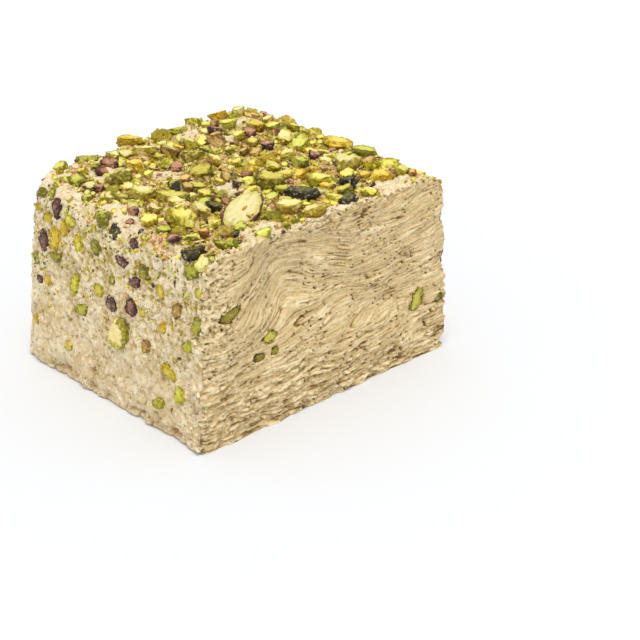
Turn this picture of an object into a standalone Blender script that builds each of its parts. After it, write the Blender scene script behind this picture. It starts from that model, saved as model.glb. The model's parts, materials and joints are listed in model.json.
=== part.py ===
"""Pistachio halva block, a Blender 4.5 script.

A moulded block of sesame halva, cut straight across its near end. The cut face is bare and
layered, the top is packed with chopped pistachio, and the skin of the sides carries fewer
pieces. The largest kernels are solids of their own, each in a socket, and the rest are fused
to the halva that they are pressed into.

The frame is in metres with +Z up. The origin lies on the table under the middle of the block,
the cut face looks along -Y and the moulded end lies towards +Y. Every size and place below is
in millimetres, and to_object turns it into metres.
"""

import math
import random

import bmesh
import bpy
from mathutils import Matrix, Vector, noise
from mathutils.bvhtree import BVHTree

MM = 0.001

# Driving dimensions
WIDTH = 120.5
LENGTH = 108.0
HEIGHT = 70.0
DRAFT = 4.8
CORNER_RADIUS = 15.0
TOP_EDGE_RADIUS = 7.0
BASE_EDGE_RADIUS = 2.0
TOP_CROWN = 1.0
CORNER_EASE = 5.0

# Grid of the block's surface
GRID_STEP = 6.3
EDGE_LINE = 2.6

# Relief of the halva
RELIEF_SCALE = 11.0
RELIEF_DEPTH = {"top": 2.0, "side": 1.0, "cut": 0.8}
PEBBLE_SCALE = 5.0
PEBBLE_DEPTH = 0.5
LAYER_PITCH = 13.0
LAYER_DEPTH = 0.55
CRUMBLE_HEIGHT = 7.0
CRUMBLE_DEPTH = 2.4

# Pistachio pieces
THICKNESS_SHARE = 0.62
KERNEL_FLAT = 0.22
NODE_LENGTH = 10.6
SOCKET_GAP = 0.32
KERNEL_PROUD = 0.34
PROUD_SHARE = {"top": 0.50, "left": 0.26, "right": 0.26, "back": 0.26, "cut": 0.10}
SIDE_PROUD_MOST = 1.6
TOP_PROUD_MOST = 2.6
SPREAD_TRIES = 400
HIDDEN_SIDE_PIECES = 20
CRUMB_COUNT = 38

# Dents and notches of the moulded skin: side, place along the face, height, width, depth
DENTS = (
    ("left", 12.0, 16.0, 6.0, 2.0),
    ("left", -26.0, 3.0, 9.0, 3.0),
    ("left", 20.0, 2.0, 7.0, 2.6),
    ("left", 2.0, 1.5, 5.0, 2.2),
    ("left", 39.0, 2.0, 6.0, 2.4),
    ("right", -30.0, 3.0, 8.0, 2.8),
    ("right", 14.0, 2.0, 7.0, 2.6),
    ("right", 26.0, 18.0, 6.0, 1.8),
    ("back", -24.0, 2.5, 8.0, 2.8),
    ("back", 18.0, 2.0, 7.0, 2.4),
    ("cut", 43.0, 20.0, 7.0, 2.4),
    ("cut", -2.0, 38.0, 6.0, 1.2),
    ("cut", -45.0, 10.0, 7.0, 1.8),
    ("cut", -30.0, 5.0, 7.0, 1.6),
)

COLOURS = {
    "halva": (0.64, 0.52, 0.31),
    "lime": (0.36, 0.36, 0.03),
    "green": (0.20, 0.22, 0.03),
    "pale": (0.52, 0.48, 0.12),
    "yellow": (0.55, 0.42, 0.04),
    "dark": (0.04, 0.05, 0.02),
    "purple": (0.10, 0.03, 0.04),
    "brown": (0.24, 0.14, 0.07),
}

# The half kernel that lies tilted on the top: place, size, turn, tilt and roll in degrees
HERO_PLACE = (-22.5, -34.5)
HERO_SIZE = (21.0, 10.5)
HERO_TURN = 10.0
HERO_TILT = 18.0
HERO_ROLL = 34.0
HERO_LIFT = 2.4

# Pieces in the top: x, y, length, width, turn in degrees, colour
TOP_PIECES = (
    (36, -24, 13.0, 10.5, -40, "pale"),
    (4, -20, 12.5, 9.5, -43, "green"),
    (-39, -23, 12.4, 12.0, -30, "lime"),
    (-30, -6, 12.4, 7.0, -45, "green"),
    (5, -35, 12.0, 8.5, -50, "dark"),
    (-7, 46, 12.0, 6.5, -30, "yellow"),
    (50, -6, 11.7, 6.5, -60, "yellow"),
    (-34, 5, 11.0, 9.0, -50, "pale"),
    (49, -21, 11.0, 6.0, -60, "green"),
    (19, -29, 10.7, 8.0, -35, "lime"),
    (-6, -40, 10.7, 7.0, -45, "pale"),
    (-7, 6, 10.4, 6.5, -43, "green"),
    (38, 3, 10.0, 10.0, -43, "lime"),
    (47, -35, 10.0, 6.0, -50, "lime"),
    (17, -3, 10.0, 7.0, -35, "yellow"),
    (-3, -49, 10.0, 5.0, -30, "pale"),
    (35, -43, 9.4, 7.0, -30, "yellow"),
    (51, 9, 9.3, 5.0, -70, "lime"),
    (-11, 33, 9.3, 6.0, -43, "pale"),
    (-28, 46, 9.3, 5.0, -20, "green"),
    (50, 23, 8.6, 6.0, -60, "pale"),
    (-17, -43, 8.6, 6.5, -50, "green"),
    (-32, 20, 8.6, 7.0, -43, "green"),
    (-22, 25, 8.6, 8.0, -60, "yellow"),
    (4, 42, 8.6, 8.0, -43, "lime"),
    (0, 19, 8.6, 6.8, -40, "pale"),
    (14, 49, 8.6, 4.5, -20, "green"),
    (-42, -49, 8.6, 4.0, -50, "green"),
    (14, 23, 8.6, 6.0, -60, "brown"),
    (-52, -44, 8.5, 5.5, -30, "dark"),
    (36, 47, 8.3, 5.0, -30, "yellow"),
    (24, -38, 8.0, 6.5, 40, "dark"),
    (38, 28, 8.0, 6.0, -20, "yellow"),
    (-54, 2, 8.0, 6.0, 50, "green"),
    (-4, 27, 8.0, 6.0, -45, "brown"),
    (13, -49, 7.5, 6.5, 47, "dark"),
    (25, 48, 7.2, 6.0, -43, "lime"),
    (-27, 34, 7.2, 5.0, -43, "purple"),
    (16, -20, 7.0, 5.0, 10, "yellow"),
    (25, -13, 7.0, 6.0, -20, "green"),
    (6, -6, 6.8, 5.5, -43, "yellow"),
    (-47, -30, 6.5, 5.0, 0, "lime"),
    (24, 35, 6.0, 4.0, -40, "purple"),
    (34, -11, 6.0, 3.8, -60, "purple"),
    (25, 6, 6.0, 3.8, -30, "purple"),
    (31, 23, 6.0, 4.0, -50, "purple"),
    (-45, 30, 6.0, 5.0, 0, "green"),
    (-28, -51, 6.0, 4.5, -20, "lime"),
    (-24, -21, 6.0, 4.0, -40, "dark"),
    (45, -44, 6.0, 5.0, 0, "lime"),
    (4, 11, 6.0, 5.5, 30, "pale"),
    (-52, -34, 5.5, 3.2, -30, "purple"),
    (-42, 20, 5.5, 4.0, 70, "purple"),
    (-50, 16, 5.0, 4.0, 30, "green"),
)

# Pieces in the left side: place along the face towards the cut, height, length, width, turn, colour
LEFT_PIECES = (
    (9, 30, 13.0, 12.0, 30, "pale"),
    (-29, 53, 10.5, 7.0, 80, "yellow"),
    (-17, 39, 10.5, 6.0, 80, "lime"),
    (-35, 50, 9.5, 6.0, 80, "purple"),
    (-12, 31, 8.5, 5.0, 25, "green"),
    (36, 25, 8.5, 4.5, -10, "yellow"),
    (-28, 64, 8.0, 5.0, 80, "purple"),
    (-23, 58, 8.0, 6.0, 70, "yellow"),
    (42, 18, 8.0, 5.0, 85, "lime"),
    (50, 46, 8.0, 5.0, 80, "green"),
    (4, 39, 7.5, 6.5, 10, "purple"),
    (16, 42, 7.5, 6.0, 80, "purple"),
    (-14, 56, 7.5, 5.0, 80, "lime"),
    (31, 11, 7.5, 4.5, 20, "lime"),
    (-4, 57, 7.0, 6.5, 0, "green"),
    (-19, 62, 7.0, 5.5, -15, "lime"),
    (17, 51, 7.0, 4.5, 20, "purple"),
    (24, 30, 7.0, 6.0, 70, "brown"),
    (-41, 41, 7.0, 6.0, 0, "green"),
    (6, 66, 6.5, 6.0, 45, "dark"),
    (22, 57, 6.5, 6.0, 0, "green"),
    (46, 38, 6.5, 4.5, 15, "lime"),
    (10, 57, 6.5, 4.5, -10, "purple"),
    (40, 49, 6.5, 4.5, 80, "brown"),
    (-28, 46, 6.5, 4.0, 0, "green"),
    (-33, 35, 6.0, 4.5, -15, "yellow"),
    (-32, 68, 5.5, 4.0, 90, "green"),
    (-3, 42, 5.5, 4.5, 80, "lime"),
    (51, 59, 6.0, 5.0, 60, "lime"),
    (31, 53, 5.0, 4.5, 0, "yellow"),
    (-33, 59, 5.0, 4.0, 20, "yellow"),
    (16, 65, 4.5, 4.5, 0, "purple"),
    (-38, 34, 4.5, 4.0, 0, "purple"),
    (-20, 14, 4.5, 3.5, 10, "lime"),
    (33, 40, 4.0, 4.0, 0, "yellow"),
    (22, 42, 4.0, 3.5, 0, "lime"),
    (-41, 17, 4.0, 4.0, 0, "yellow"),
    (5, 48, 4.0, 3.5, 0, "green"),
    (47, 65, 9.0, 7.0, 30, "green"),
)

# Pieces that the cut went through: x, height, length, width, turn, colour
CUT_PIECES = (
    (-45, 48, 10.5, 4.5, 12, "green"),
    (45, 24, 10.0, 7.5, 80, "lime"),
    (-28, 34, 7.0, 5.0, 0, "lime"),
    (-33, 28, 5.5, 3.0, 0, "green"),
    (-26, 28, 4.0, 3.0, 0, "green"),
    (56, 21, 4.5, 4.0, 60, "green"),
    (-57, 59, 5.5, 5.0, 30, "yellow"),
)

# The sides of the block: way out, way that a turn of 0 points along, and half of the size that way
SIDES = {
    "top": (Vector((0, 0, 1)), Vector((1, 0, 0))),
    "left": (Vector((-1, 0, 0)), Vector((0, -1, 0))),
    "right": (Vector((1, 0, 0)), Vector((0, 1, 0))),
    "back": (Vector((0, 1, 0)), Vector((-1, 0, 0))),
    "cut": (Vector((0, -1, 0)), Vector((1, 0, 0))),
}


def clear_scene():
    for obj in list(bpy.data.objects):
        bpy.data.objects.remove(obj, do_unlink=True)


def new_collection(name):
    collection = bpy.data.collections.new(name)
    bpy.context.scene.collection.children.link(collection)
    return collection


def material(name):
    """A plain Principled material in one of the named colours."""
    found = bpy.data.materials.get(name)
    if found:
        return found
    made = bpy.data.materials.new(name)
    made.use_nodes = True
    shader = made.node_tree.nodes["Principled BSDF"]
    shader.inputs["Base Color"].default_value = (*COLOURS[name], 1.0)
    shader.inputs["Roughness"].default_value = 0.85 if name == "halva" else 0.5
    shader.inputs["Metallic"].default_value = 0.0
    made.diffuse_color = (*COLOURS[name], 1.0)
    return made


def to_object(bm, name, colour, collection):
    """An object in metres from a bmesh in millimetres."""
    bmesh.ops.scale(bm, vec=(MM, MM, MM), verts=bm.verts)
    mesh = bpy.data.meshes.new(name)
    bm.to_mesh(mesh)
    bm.free()
    mesh.materials.append(material(colour))
    obj = bpy.data.objects.new(name, mesh)
    collection.objects.link(obj)
    return obj


def grid_lines(low, high):
    """Lines across one axis: even ones, and one close to each edge."""
    count = max(2, round((high - low) / GRID_STEP))
    even = [low + (high - low) * i / count for i in range(1, count)]
    return [low + EDGE_LINE, *even, high - EDGE_LINE]


def box_with_lines():
    """A plain box of the block's size, cut into a grid."""
    bm = bmesh.new()
    low = Vector((-WIDTH / 2, -LENGTH / 2, 0))
    high = Vector((WIDTH / 2, LENGTH / 2, HEIGHT))
    bmesh.ops.create_cube(bm, size=1.0)
    bmesh.ops.scale(bm, vec=high - low, verts=bm.verts)
    bmesh.ops.translate(bm, vec=(low + high) / 2, verts=bm.verts)
    for axis in range(3):
        normal = Vector([float(axis == i) for i in range(3)])
        for line in grid_lines(low[axis], high[axis]):
            geom = bm.verts[:] + bm.edges[:] + bm.faces[:]
            bmesh.ops.bisect_plane(bm, geom=geom, plane_co=normal * line, plane_no=normal)
    return bm


def rounded_edge(reach, z):
    """Rounds the profile of the wall at the top and at the base."""
    for radius, edge, way in ((TOP_EDGE_RADIUS, HEIGHT, 1), (BASE_EDGE_RADIUS, 0.0, -1)):
        across = reach - (CORNER_RADIUS - radius)
        along = way * (z - edge) + radius
        if across <= 0 or along <= 0:
            continue
        squeeze = max(across, along) / math.hypot(across, along)
        reach += across * (squeeze - 1)
        z += way * along * (squeeze - 1)
    return reach, z


def moulded(point):
    """Where a point of the plain box lies on the moulded block."""
    core_x = WIDTH / 2 - CORNER_RADIUS
    core_y = LENGTH / 2 - CORNER_RADIUS
    core = Vector((max(-core_x, min(core_x, point.x)), min(core_y, point.y)))
    out = Vector((point.x, point.y)) - core
    reach, z = rounded_edge(max(abs(out.x), abs(out.y)), point.z)
    reach *= 1 - DRAFT / CORNER_RADIUS * z / HEIGHT
    if out.length > 0:
        diagonal = 2 * abs(out.x * out.y) / out.length_squared
        reach *= 1 - CORNER_EASE / CORNER_RADIUS * diagonal * (z / HEIGHT) ** 3
    place = core + out.normalized() * reach
    across = 1 - (2 * point.x / WIDTH) ** 2
    z += TOP_CROWN * across * (z / HEIGHT) ** 6
    return Vector((place.x, place.y, z))


def side_of(point):
    """The side of the plain box that a point lies on."""
    if point.z > HEIGHT - 0.01:
        return "top"
    return "cut" if point.y < 0.01 - LENGTH / 2 else "side"


def layers(x, z):
    """Ridges of the folded layers, which rise to the right and curl round a fold at the left."""
    fold = math.exp(-((x + 22) ** 2 + (z - 45) ** 2) / 500)
    height = z - 0.10 * x + 9 * fold + 3 * math.sin(x / 17)
    return math.sin(2 * math.pi * height / LAYER_PITCH)


def dent_depth(point):
    """How far the dents push a point in."""
    depth = 0.0
    for side, along, height, width, most in DENTS:
        out, way = SIDES[side]
        if point.dot(out) < (WIDTH / 2 if out.x else LENGTH / 2) - CORNER_RADIUS / 2:
            continue
        away = Vector((point.dot(way) - along, point.z - height)).length / width
        depth = max(depth, most * math.exp(-4 * away * away))
    return depth


def shape_block(bm):
    """Moulds the box, then gives it the relief of the real surface."""
    sides = {vert: side_of(vert.co) for vert in bm.verts}
    for vert in bm.verts:
        vert.co = moulded(vert.co)
    bm.normal_update()
    moved = {}
    for vert, side in sides.items():
        point = vert.co
        if point.z < 0.01:
            continue
        push = RELIEF_DEPTH[side] * noise.noise(point / RELIEF_SCALE)
        push += PEBBLE_DEPTH * noise.noise(point / PEBBLE_SCALE + Vector((7, 3, 5)))
        if side == "cut":
            push += LAYER_DEPTH * layers(point.x, point.z)
        low = max(0.0, 1 - point.z / CRUMBLE_HEIGHT)
        push -= CRUMBLE_DEPTH * low * max(0.0, noise.noise(point / 6 + Vector((1, 9, 4))) + 0.1)
        push -= dent_depth(point)
        fade = min(1.0, point.z / BASE_EDGE_RADIUS)
        moved[vert] = point + vert.normal * push * fade
    for vert, place in moved.items():
        vert.co = place
    base = [face for face in bm.faces if all(vert.co.z < 0.01 for vert in face.verts)]
    bmesh.ops.dissolve_faces(bm, faces=base)


def build_block(collection):
    bm = box_with_lines()
    shape_block(bm)
    surface = BVHTree.FromBMesh(bm)
    return to_object(bm, "halva_block", "halva", collection), surface


def surface_frame(surface, side, along, height, turn):
    """Place, and axes with Z out of the surface, for a piece on one side of the block."""
    out, way = SIDES[side]
    if side == "top":
        start = Vector((along, height, 2 * HEIGHT))
    else:
        start = way * along + Vector((0, 0, height)) + out * 2 * WIDTH
    place, normal, _, _ = surface.ray_cast(start, -out)
    if place is None:
        return None
    normal = (normal + out).normalized()
    x_axis = (way - normal * way.dot(normal)).normalized()
    y_axis = normal.cross(x_axis)
    axes = Matrix((x_axis, y_axis, normal)).transposed().to_4x4()
    return Matrix.Translation(place) @ axes @ Matrix.Rotation(math.radians(turn), 4, "Z")


def chopped_piece(length, width, rng):
    """A chopped bit of kernel: a faceted egg, each corner a little off."""
    bm = bmesh.new()
    if length < 7:
        bmesh.ops.create_icosphere(bm, subdivisions=1, radius=0.5)
    else:
        bmesh.ops.create_uvsphere(bm, u_segments=7, v_segments=4, radius=0.5)
    for vert in bm.verts:
        vert.co *= rng.uniform(0.9, 1.1)
    size = (length, width, width * THICKNESS_SHARE)
    bmesh.ops.scale(bm, vec=size, verts=bm.verts)
    return bm


def half_kernel(length, width, grow=0.0):
    """A kernel split along its seam: a long egg cut flat, drawn in towards the tip."""
    bm = bmesh.new()
    bmesh.ops.create_uvsphere(bm, u_segments=10, v_segments=6, radius=0.5)
    thick = width * THICKNESS_SHARE
    for vert in bm.verts:
        tip = 1 - 0.25 * vert.co.x
        vert.co = Vector((vert.co.x * length, vert.co.y * width * tip, vert.co.z * thick * tip))
    if grow:
        bm.normal_update()
        pushed = {vert: vert.co + vert.normal * grow * 1.15 for vert in bm.verts}
        for vert, place in pushed.items():
            vert.co = place
    geom = bm.verts[:] + bm.edges[:] + bm.faces[:]
    flat = Vector((0, 0, thick * KERNEL_FLAT + grow))
    cut = bmesh.ops.bisect_plane(
        bm, geom=geom, plane_co=flat, plane_no=(0, 0, 1), clear_outer=True
    )
    rim = [item for item in cut["geom_cut"] if isinstance(item, bmesh.types.BMEdge)]
    bmesh.ops.contextual_create(bm, geom=rim)
    return bm


def sunk(frame, width, proud_share, crest_share, most):
    """Moves a piece out of the surface, so that the part of it that shows stands proud."""
    thick = width * THICKNESS_SHARE
    proud = min(proud_share * thick, most)
    return frame @ Matrix.Translation((0, 0, proud - crest_share * thick))


def hero_frame(surface):
    """The big half kernel leans on its neighbours, one end up, its face to the near left."""
    place = surface_frame(surface, "top", *HERO_PLACE, 0.0).to_translation()
    place.z += HERO_LIFT
    turn = Matrix.Rotation(math.radians(HERO_TURN), 4, "Z")
    tilt = Matrix.Rotation(math.radians(-HERO_TILT), 4, "Y")
    roll = Matrix.Rotation(math.radians(HERO_ROLL), 4, "X")
    return Matrix.Translation(place) @ turn @ tilt @ roll


def kernel_rows():
    """Every named piece as one list of rows: side, along, height, length, width, turn, colour."""
    tables = (("top", TOP_PIECES), ("left", LEFT_PIECES), ("cut", CUT_PIECES))
    return [(side, *row) for side, table in tables for row in table]


def spread_rows(rng):
    """Pieces on the hidden sides, denser towards the top, and crumbs on the top."""
    rows = []
    half = {"right": LENGTH / 2 - 8, "back": WIDTH / 2 - 20}
    for side, reach in half.items():
        placed = []
        for _ in range(SPREAD_TRIES):
            along = rng.uniform(-reach, reach)
            height = HEIGHT * (0.14 + 0.80 * math.sqrt(rng.random()))
            if any(math.hypot(along - a, height - h) < 8.5 for a, h in placed):
                continue
            placed.append((along, height))
            length = rng.uniform(4.5, 9.0)
            colour = rng.choice(("lime", "green", "yellow", "purple", "brown", "pale"))
            turn = rng.uniform(0, 180)
            rows.append((side, along, height, length, length * rng.uniform(0.6, 0.9), turn, colour))
            if len(placed) == HIDDEN_SIDE_PIECES:
                break
    while len(rows) < 2 * HIDDEN_SIDE_PIECES + CRUMB_COUNT:
        along = rng.uniform(-50, 50)
        height = rng.uniform(-50, 46)
        near = min(math.hypot(along - row[0], height - row[1]) - row[2] / 2 for row in TOP_PIECES)
        if near < 3:
            continue
        length = rng.uniform(4.0, 6.0)
        colour = rng.choice(("lime", "pale", "brown", "purple"))
        rows.append(("top", along, height, length, length * 0.8, rng.uniform(0, 180), colour))
    return rows


def build_toppings(surface, parts, fused, sockets):
    """Makes every piece: the long ones as kernels with a socket, the others to be fused."""
    rng = random.Random(41)
    count = 1
    for row in kernel_rows() + spread_rows(rng):
        side, along, height, length, width, turn, colour = row
        frame = surface_frame(surface, side, along, height, turn)
        if frame is None:
            continue
        most = TOP_PROUD_MOST if side == "top" else SIDE_PROUD_MOST
        if length < NODE_LENGTH:
            bm = chopped_piece(length, width, rng)
            place = sunk(frame, width, PROUD_SHARE[side], 0.5, most)
            bmesh.ops.transform(bm, matrix=place, verts=bm.verts)
            to_object(bm, "piece", colour, fused)
            continue
        place = sunk(frame, width, KERNEL_PROUD, KERNEL_FLAT, most)
        add_kernel(f"kernel_{count:02d}", length, width, place, colour, parts, sockets)
        count += 1
    add_kernel("kernel_hero", *HERO_SIZE, hero_frame(surface), "pale", parts, sockets)


def add_kernel(name, length, width, frame, colour, parts, sockets):
    """One kernel and the cutter for its socket."""
    bm = half_kernel(length, width)
    bmesh.ops.transform(bm, matrix=frame, verts=bm.verts)
    to_object(bm, name, colour, parts)
    bm = half_kernel(length, width, SOCKET_GAP)
    bmesh.ops.transform(bm, matrix=frame, verts=bm.verts)
    cutter = to_object(bm, name + "_socket", "halva", sockets)
    cutter.hide_render = True
    cutter.display_type = "WIRE"


def boolean(obj, operation, collection):
    """Joins or cuts the block with all of a collection, and removes the collection's objects."""
    modifier = obj.modifiers.new(operation.lower(), "BOOLEAN")
    modifier.operation = operation
    modifier.operand_type = "COLLECTION"
    modifier.collection = collection
    modifier.solver = "EXACT"
    modifier.material_mode = "TRANSFER"
    bpy.context.view_layer.update()
    graph = bpy.context.evaluated_depsgraph_get()
    mesh = bpy.data.meshes.new_from_object(obj.evaluated_get(graph))
    obj.modifiers.remove(modifier)
    obj.data = mesh
    for helper in list(collection.objects):
        bpy.data.objects.remove(helper, do_unlink=True)
    bpy.data.collections.remove(collection)


def shells(bm):
    """The separate closed shells of a mesh, as lists of faces."""
    left = set(bm.faces)
    found = []
    while left:
        shell = [left.pop()]
        for face in shell:
            for edge in face.edges:
                for other in edge.link_faces:
                    if other in left:
                        left.discard(other)
                        shell.append(other)
        found.append(shell)
    return found


def keep_outer_shell(obj):
    """Drops loose scraps and fills sealed hollows, by keeping the largest shell alone."""
    bm = bmesh.new()
    bm.from_mesh(obj.data)
    bmesh.ops.dissolve_degenerate(bm, dist=1e-6, edges=bm.edges)
    bmesh.ops.triangulate(bm, faces=bm.faces)
    by_size = sorted(shells(bm), key=len)
    for shell in by_size[:-1]:
        bmesh.ops.delete(bm, geom=shell, context="FACES")
    bm.to_mesh(obj.data)
    bm.free()


def main():
    clear_scene()
    parts = new_collection("pistachio_halva_block")
    fused = new_collection("fused_pieces")
    sockets = new_collection("socket_cutters")
    block, surface = build_block(parts)
    build_toppings(surface, parts, fused, sockets)
    boolean(block, "UNION", fused)
    boolean(block, "DIFFERENCE", sockets)
    keep_outer_shell(block)


main()
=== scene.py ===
"""Looks of the pistachio halva block, a Blender 4.5 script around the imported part.

The halva is two closed meshes: the moulded body, and a slab with the torn, layered cut face.
The kernels and chips are knobbly spheres, stretched and chopped flat, and each point knows how
deep below the seed coat it lies, which its material turns into coat, green rim and pale middle.
Sizes and places are in millimetres in the part's frame, and new_piece turns them into metres.
"""

import json
import math
import random

import bmesh
import bpy
import numpy as np
from mathutils import Matrix, Vector, noise
from mathutils.bvhtree import BVHTree

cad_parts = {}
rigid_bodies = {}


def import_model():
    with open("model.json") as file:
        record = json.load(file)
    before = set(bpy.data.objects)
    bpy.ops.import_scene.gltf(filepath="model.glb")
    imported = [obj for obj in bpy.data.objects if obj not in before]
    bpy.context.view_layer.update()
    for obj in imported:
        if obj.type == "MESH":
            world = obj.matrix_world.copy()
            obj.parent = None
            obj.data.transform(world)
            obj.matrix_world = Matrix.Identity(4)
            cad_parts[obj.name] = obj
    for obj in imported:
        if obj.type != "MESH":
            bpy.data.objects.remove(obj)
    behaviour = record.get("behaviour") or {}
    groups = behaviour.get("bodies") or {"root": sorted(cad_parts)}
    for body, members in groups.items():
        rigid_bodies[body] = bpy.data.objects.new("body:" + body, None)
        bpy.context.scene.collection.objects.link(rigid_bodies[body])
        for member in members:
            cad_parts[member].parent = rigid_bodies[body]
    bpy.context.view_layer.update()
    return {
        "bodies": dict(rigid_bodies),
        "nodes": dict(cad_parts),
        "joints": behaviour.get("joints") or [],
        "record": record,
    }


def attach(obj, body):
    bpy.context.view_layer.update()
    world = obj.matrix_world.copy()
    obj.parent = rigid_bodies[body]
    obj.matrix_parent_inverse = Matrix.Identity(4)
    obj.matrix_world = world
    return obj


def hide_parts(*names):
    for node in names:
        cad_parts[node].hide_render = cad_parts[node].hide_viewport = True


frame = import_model()

MM = 0.001

# Sizes of the block, as in the part's source
WIDTH = 120.5
LENGTH = 108.0
HEIGHT = 70.0
DRAFT = 4.8
CORNER_RADIUS = 15.0
TOP_EDGE_RADIUS = 7.0
BASE_EDGE_RADIUS = 2.0
TOP_CROWN = 1.0
CORNER_EASE = 5.0
RELIEF_SCALE = 11.0
RELIEF_DEPTH = {"top": 2.0, "side": 1.0, "cut": 0.8}
PEBBLE_SCALE = 5.0
PEBBLE_DEPTH = 0.5
CRUMBLE_HEIGHT = 7.0
CRUMBLE_DEPTH = 2.4

# Pistachio pieces, as in the part's source
THICKNESS_SHARE = 0.62
KERNEL_FLAT = 0.22
NODE_LENGTH = 10.6
KERNEL_PROUD = 0.34
PROUD_SHARE = {"top": 0.50, "left": 0.26, "right": 0.26, "back": 0.26, "cut": 0.10}
SIDE_PROUD_MOST = 1.6
TOP_PROUD_MOST = 2.6
SPREAD_TRIES = 400
HIDDEN_SIDE_PIECES = 20
HIDDEN_SIDE_GAP = 8.5
CRUMB_COUNT = 38
HERO_PLACE = (-22.5, -34.5)
HERO_SIZE = (21.0, 10.5)
HERO_TURN = 10.0
HERO_TILT = 18.0
HERO_ROLL = 34.0
HERO_LIFT = 2.4
HERO_CRACKS = (2.2, 2.75, 3.3, 3.9, 4.6, 0.5)

# Shallow dents: side, place along it, height, width and depth
DENTS = (
    ("left", 12.0, 16.0, 6.0, 2.0),
    ("left", -26.0, 3.0, 9.0, 3.0),
    ("left", 20.0, 2.0, 7.0, 2.6),
    ("left", 2.0, 1.5, 5.0, 2.2),
    ("left", 39.0, 2.0, 6.0, 2.4),
    ("right", -30.0, 3.0, 8.0, 2.8),
    ("right", 14.0, 2.0, 7.0, 2.6),
    ("right", 26.0, 18.0, 6.0, 1.8),
    ("back", -24.0, 2.5, 8.0, 2.8),
    ("back", 18.0, 2.0, 7.0, 2.4),
    ("cut", 43.0, 20.0, 7.0, 2.4),
    ("cut", -2.0, 38.0, 6.0, 1.2),
    ("cut", -45.0, 10.0, 7.0, 1.8),
    ("cut", -30.0, 5.0, 7.0, 1.6),
)

# Pieces on the top: x, y, length, width, turn and colour
TOP_PIECES = (
    (36, -24, 13.0, 10.5, -40, "pale"),
    (4, -20, 12.5, 9.5, -43, "green"),
    (-39, -23, 12.4, 12.0, -30, "lime"),
    (-30, -6, 12.4, 7.0, -45, "green"),
    (5, -35, 12.0, 8.5, -50, "dark"),
    (-7, 46, 12.0, 6.5, -30, "yellow"),
    (50, -6, 11.7, 6.5, -60, "yellow"),
    (-34, 5, 11.0, 9.0, -50, "pale"),
    (49, -21, 11.0, 6.0, -60, "green"),
    (19, -29, 10.7, 8.0, -35, "lime"),
    (-6, -40, 10.7, 7.0, -45, "pale"),
    (-7, 6, 10.4, 6.5, -43, "green"),
    (38, 3, 10.0, 10.0, -43, "lime"),
    (47, -35, 10.0, 6.0, -50, "lime"),
    (17, -3, 10.0, 7.0, -35, "yellow"),
    (-3, -49, 10.0, 5.0, -30, "pale"),
    (35, -43, 9.4, 7.0, -30, "yellow"),
    (51, 9, 9.3, 5.0, -70, "lime"),
    (-11, 33, 9.3, 6.0, -43, "pale"),
    (-28, 46, 9.3, 5.0, -20, "green"),
    (50, 23, 8.6, 6.0, -60, "pale"),
    (-17, -43, 8.6, 6.5, -50, "green"),
    (-32, 20, 8.6, 7.0, -43, "green"),
    (-22, 25, 8.6, 8.0, -60, "yellow"),
    (4, 42, 8.6, 8.0, -43, "lime"),
    (0, 19, 8.6, 6.8, -40, "pale"),
    (14, 49, 8.6, 4.5, -20, "green"),
    (-42, -49, 8.6, 4.0, -50, "green"),
    (14, 23, 8.6, 6.0, -60, "brown"),
    (-52, -44, 8.5, 5.5, -30, "dark"),
    (36, 47, 8.3, 5.0, -30, "yellow"),
    (24, -38, 8.0, 6.5, 40, "dark"),
    (38, 28, 8.0, 6.0, -20, "yellow"),
    (-54, 2, 8.0, 6.0, 50, "green"),
    (-4, 27, 8.0, 6.0, -45, "brown"),
    (13, -49, 7.5, 6.5, 47, "dark"),
    (25, 48, 7.2, 6.0, -43, "lime"),
    (-27, 34, 7.2, 5.0, -43, "purple"),
    (16, -20, 7.0, 5.0, 10, "yellow"),
    (25, -13, 7.0, 6.0, -20, "green"),
    (6, -6, 6.8, 5.5, -43, "yellow"),
    (-47, -30, 6.5, 5.0, 0, "lime"),
    (24, 35, 6.0, 4.0, -40, "purple"),
    (34, -11, 6.0, 3.8, -60, "purple"),
    (25, 6, 6.0, 3.8, -30, "purple"),
    (31, 23, 6.0, 4.0, -50, "purple"),
    (-45, 30, 6.0, 5.0, 0, "green"),
    (-28, -51, 6.0, 4.5, -20, "lime"),
    (-24, -21, 6.0, 4.0, -40, "dark"),
    (45, -44, 6.0, 5.0, 0, "lime"),
    (4, 11, 6.0, 5.5, 30, "pale"),
    (-52, -34, 5.5, 3.2, -30, "purple"),
    (-42, 20, 5.5, 4.0, 70, "purple"),
    (-50, 16, 5.0, 4.0, 30, "green"),
)

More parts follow.
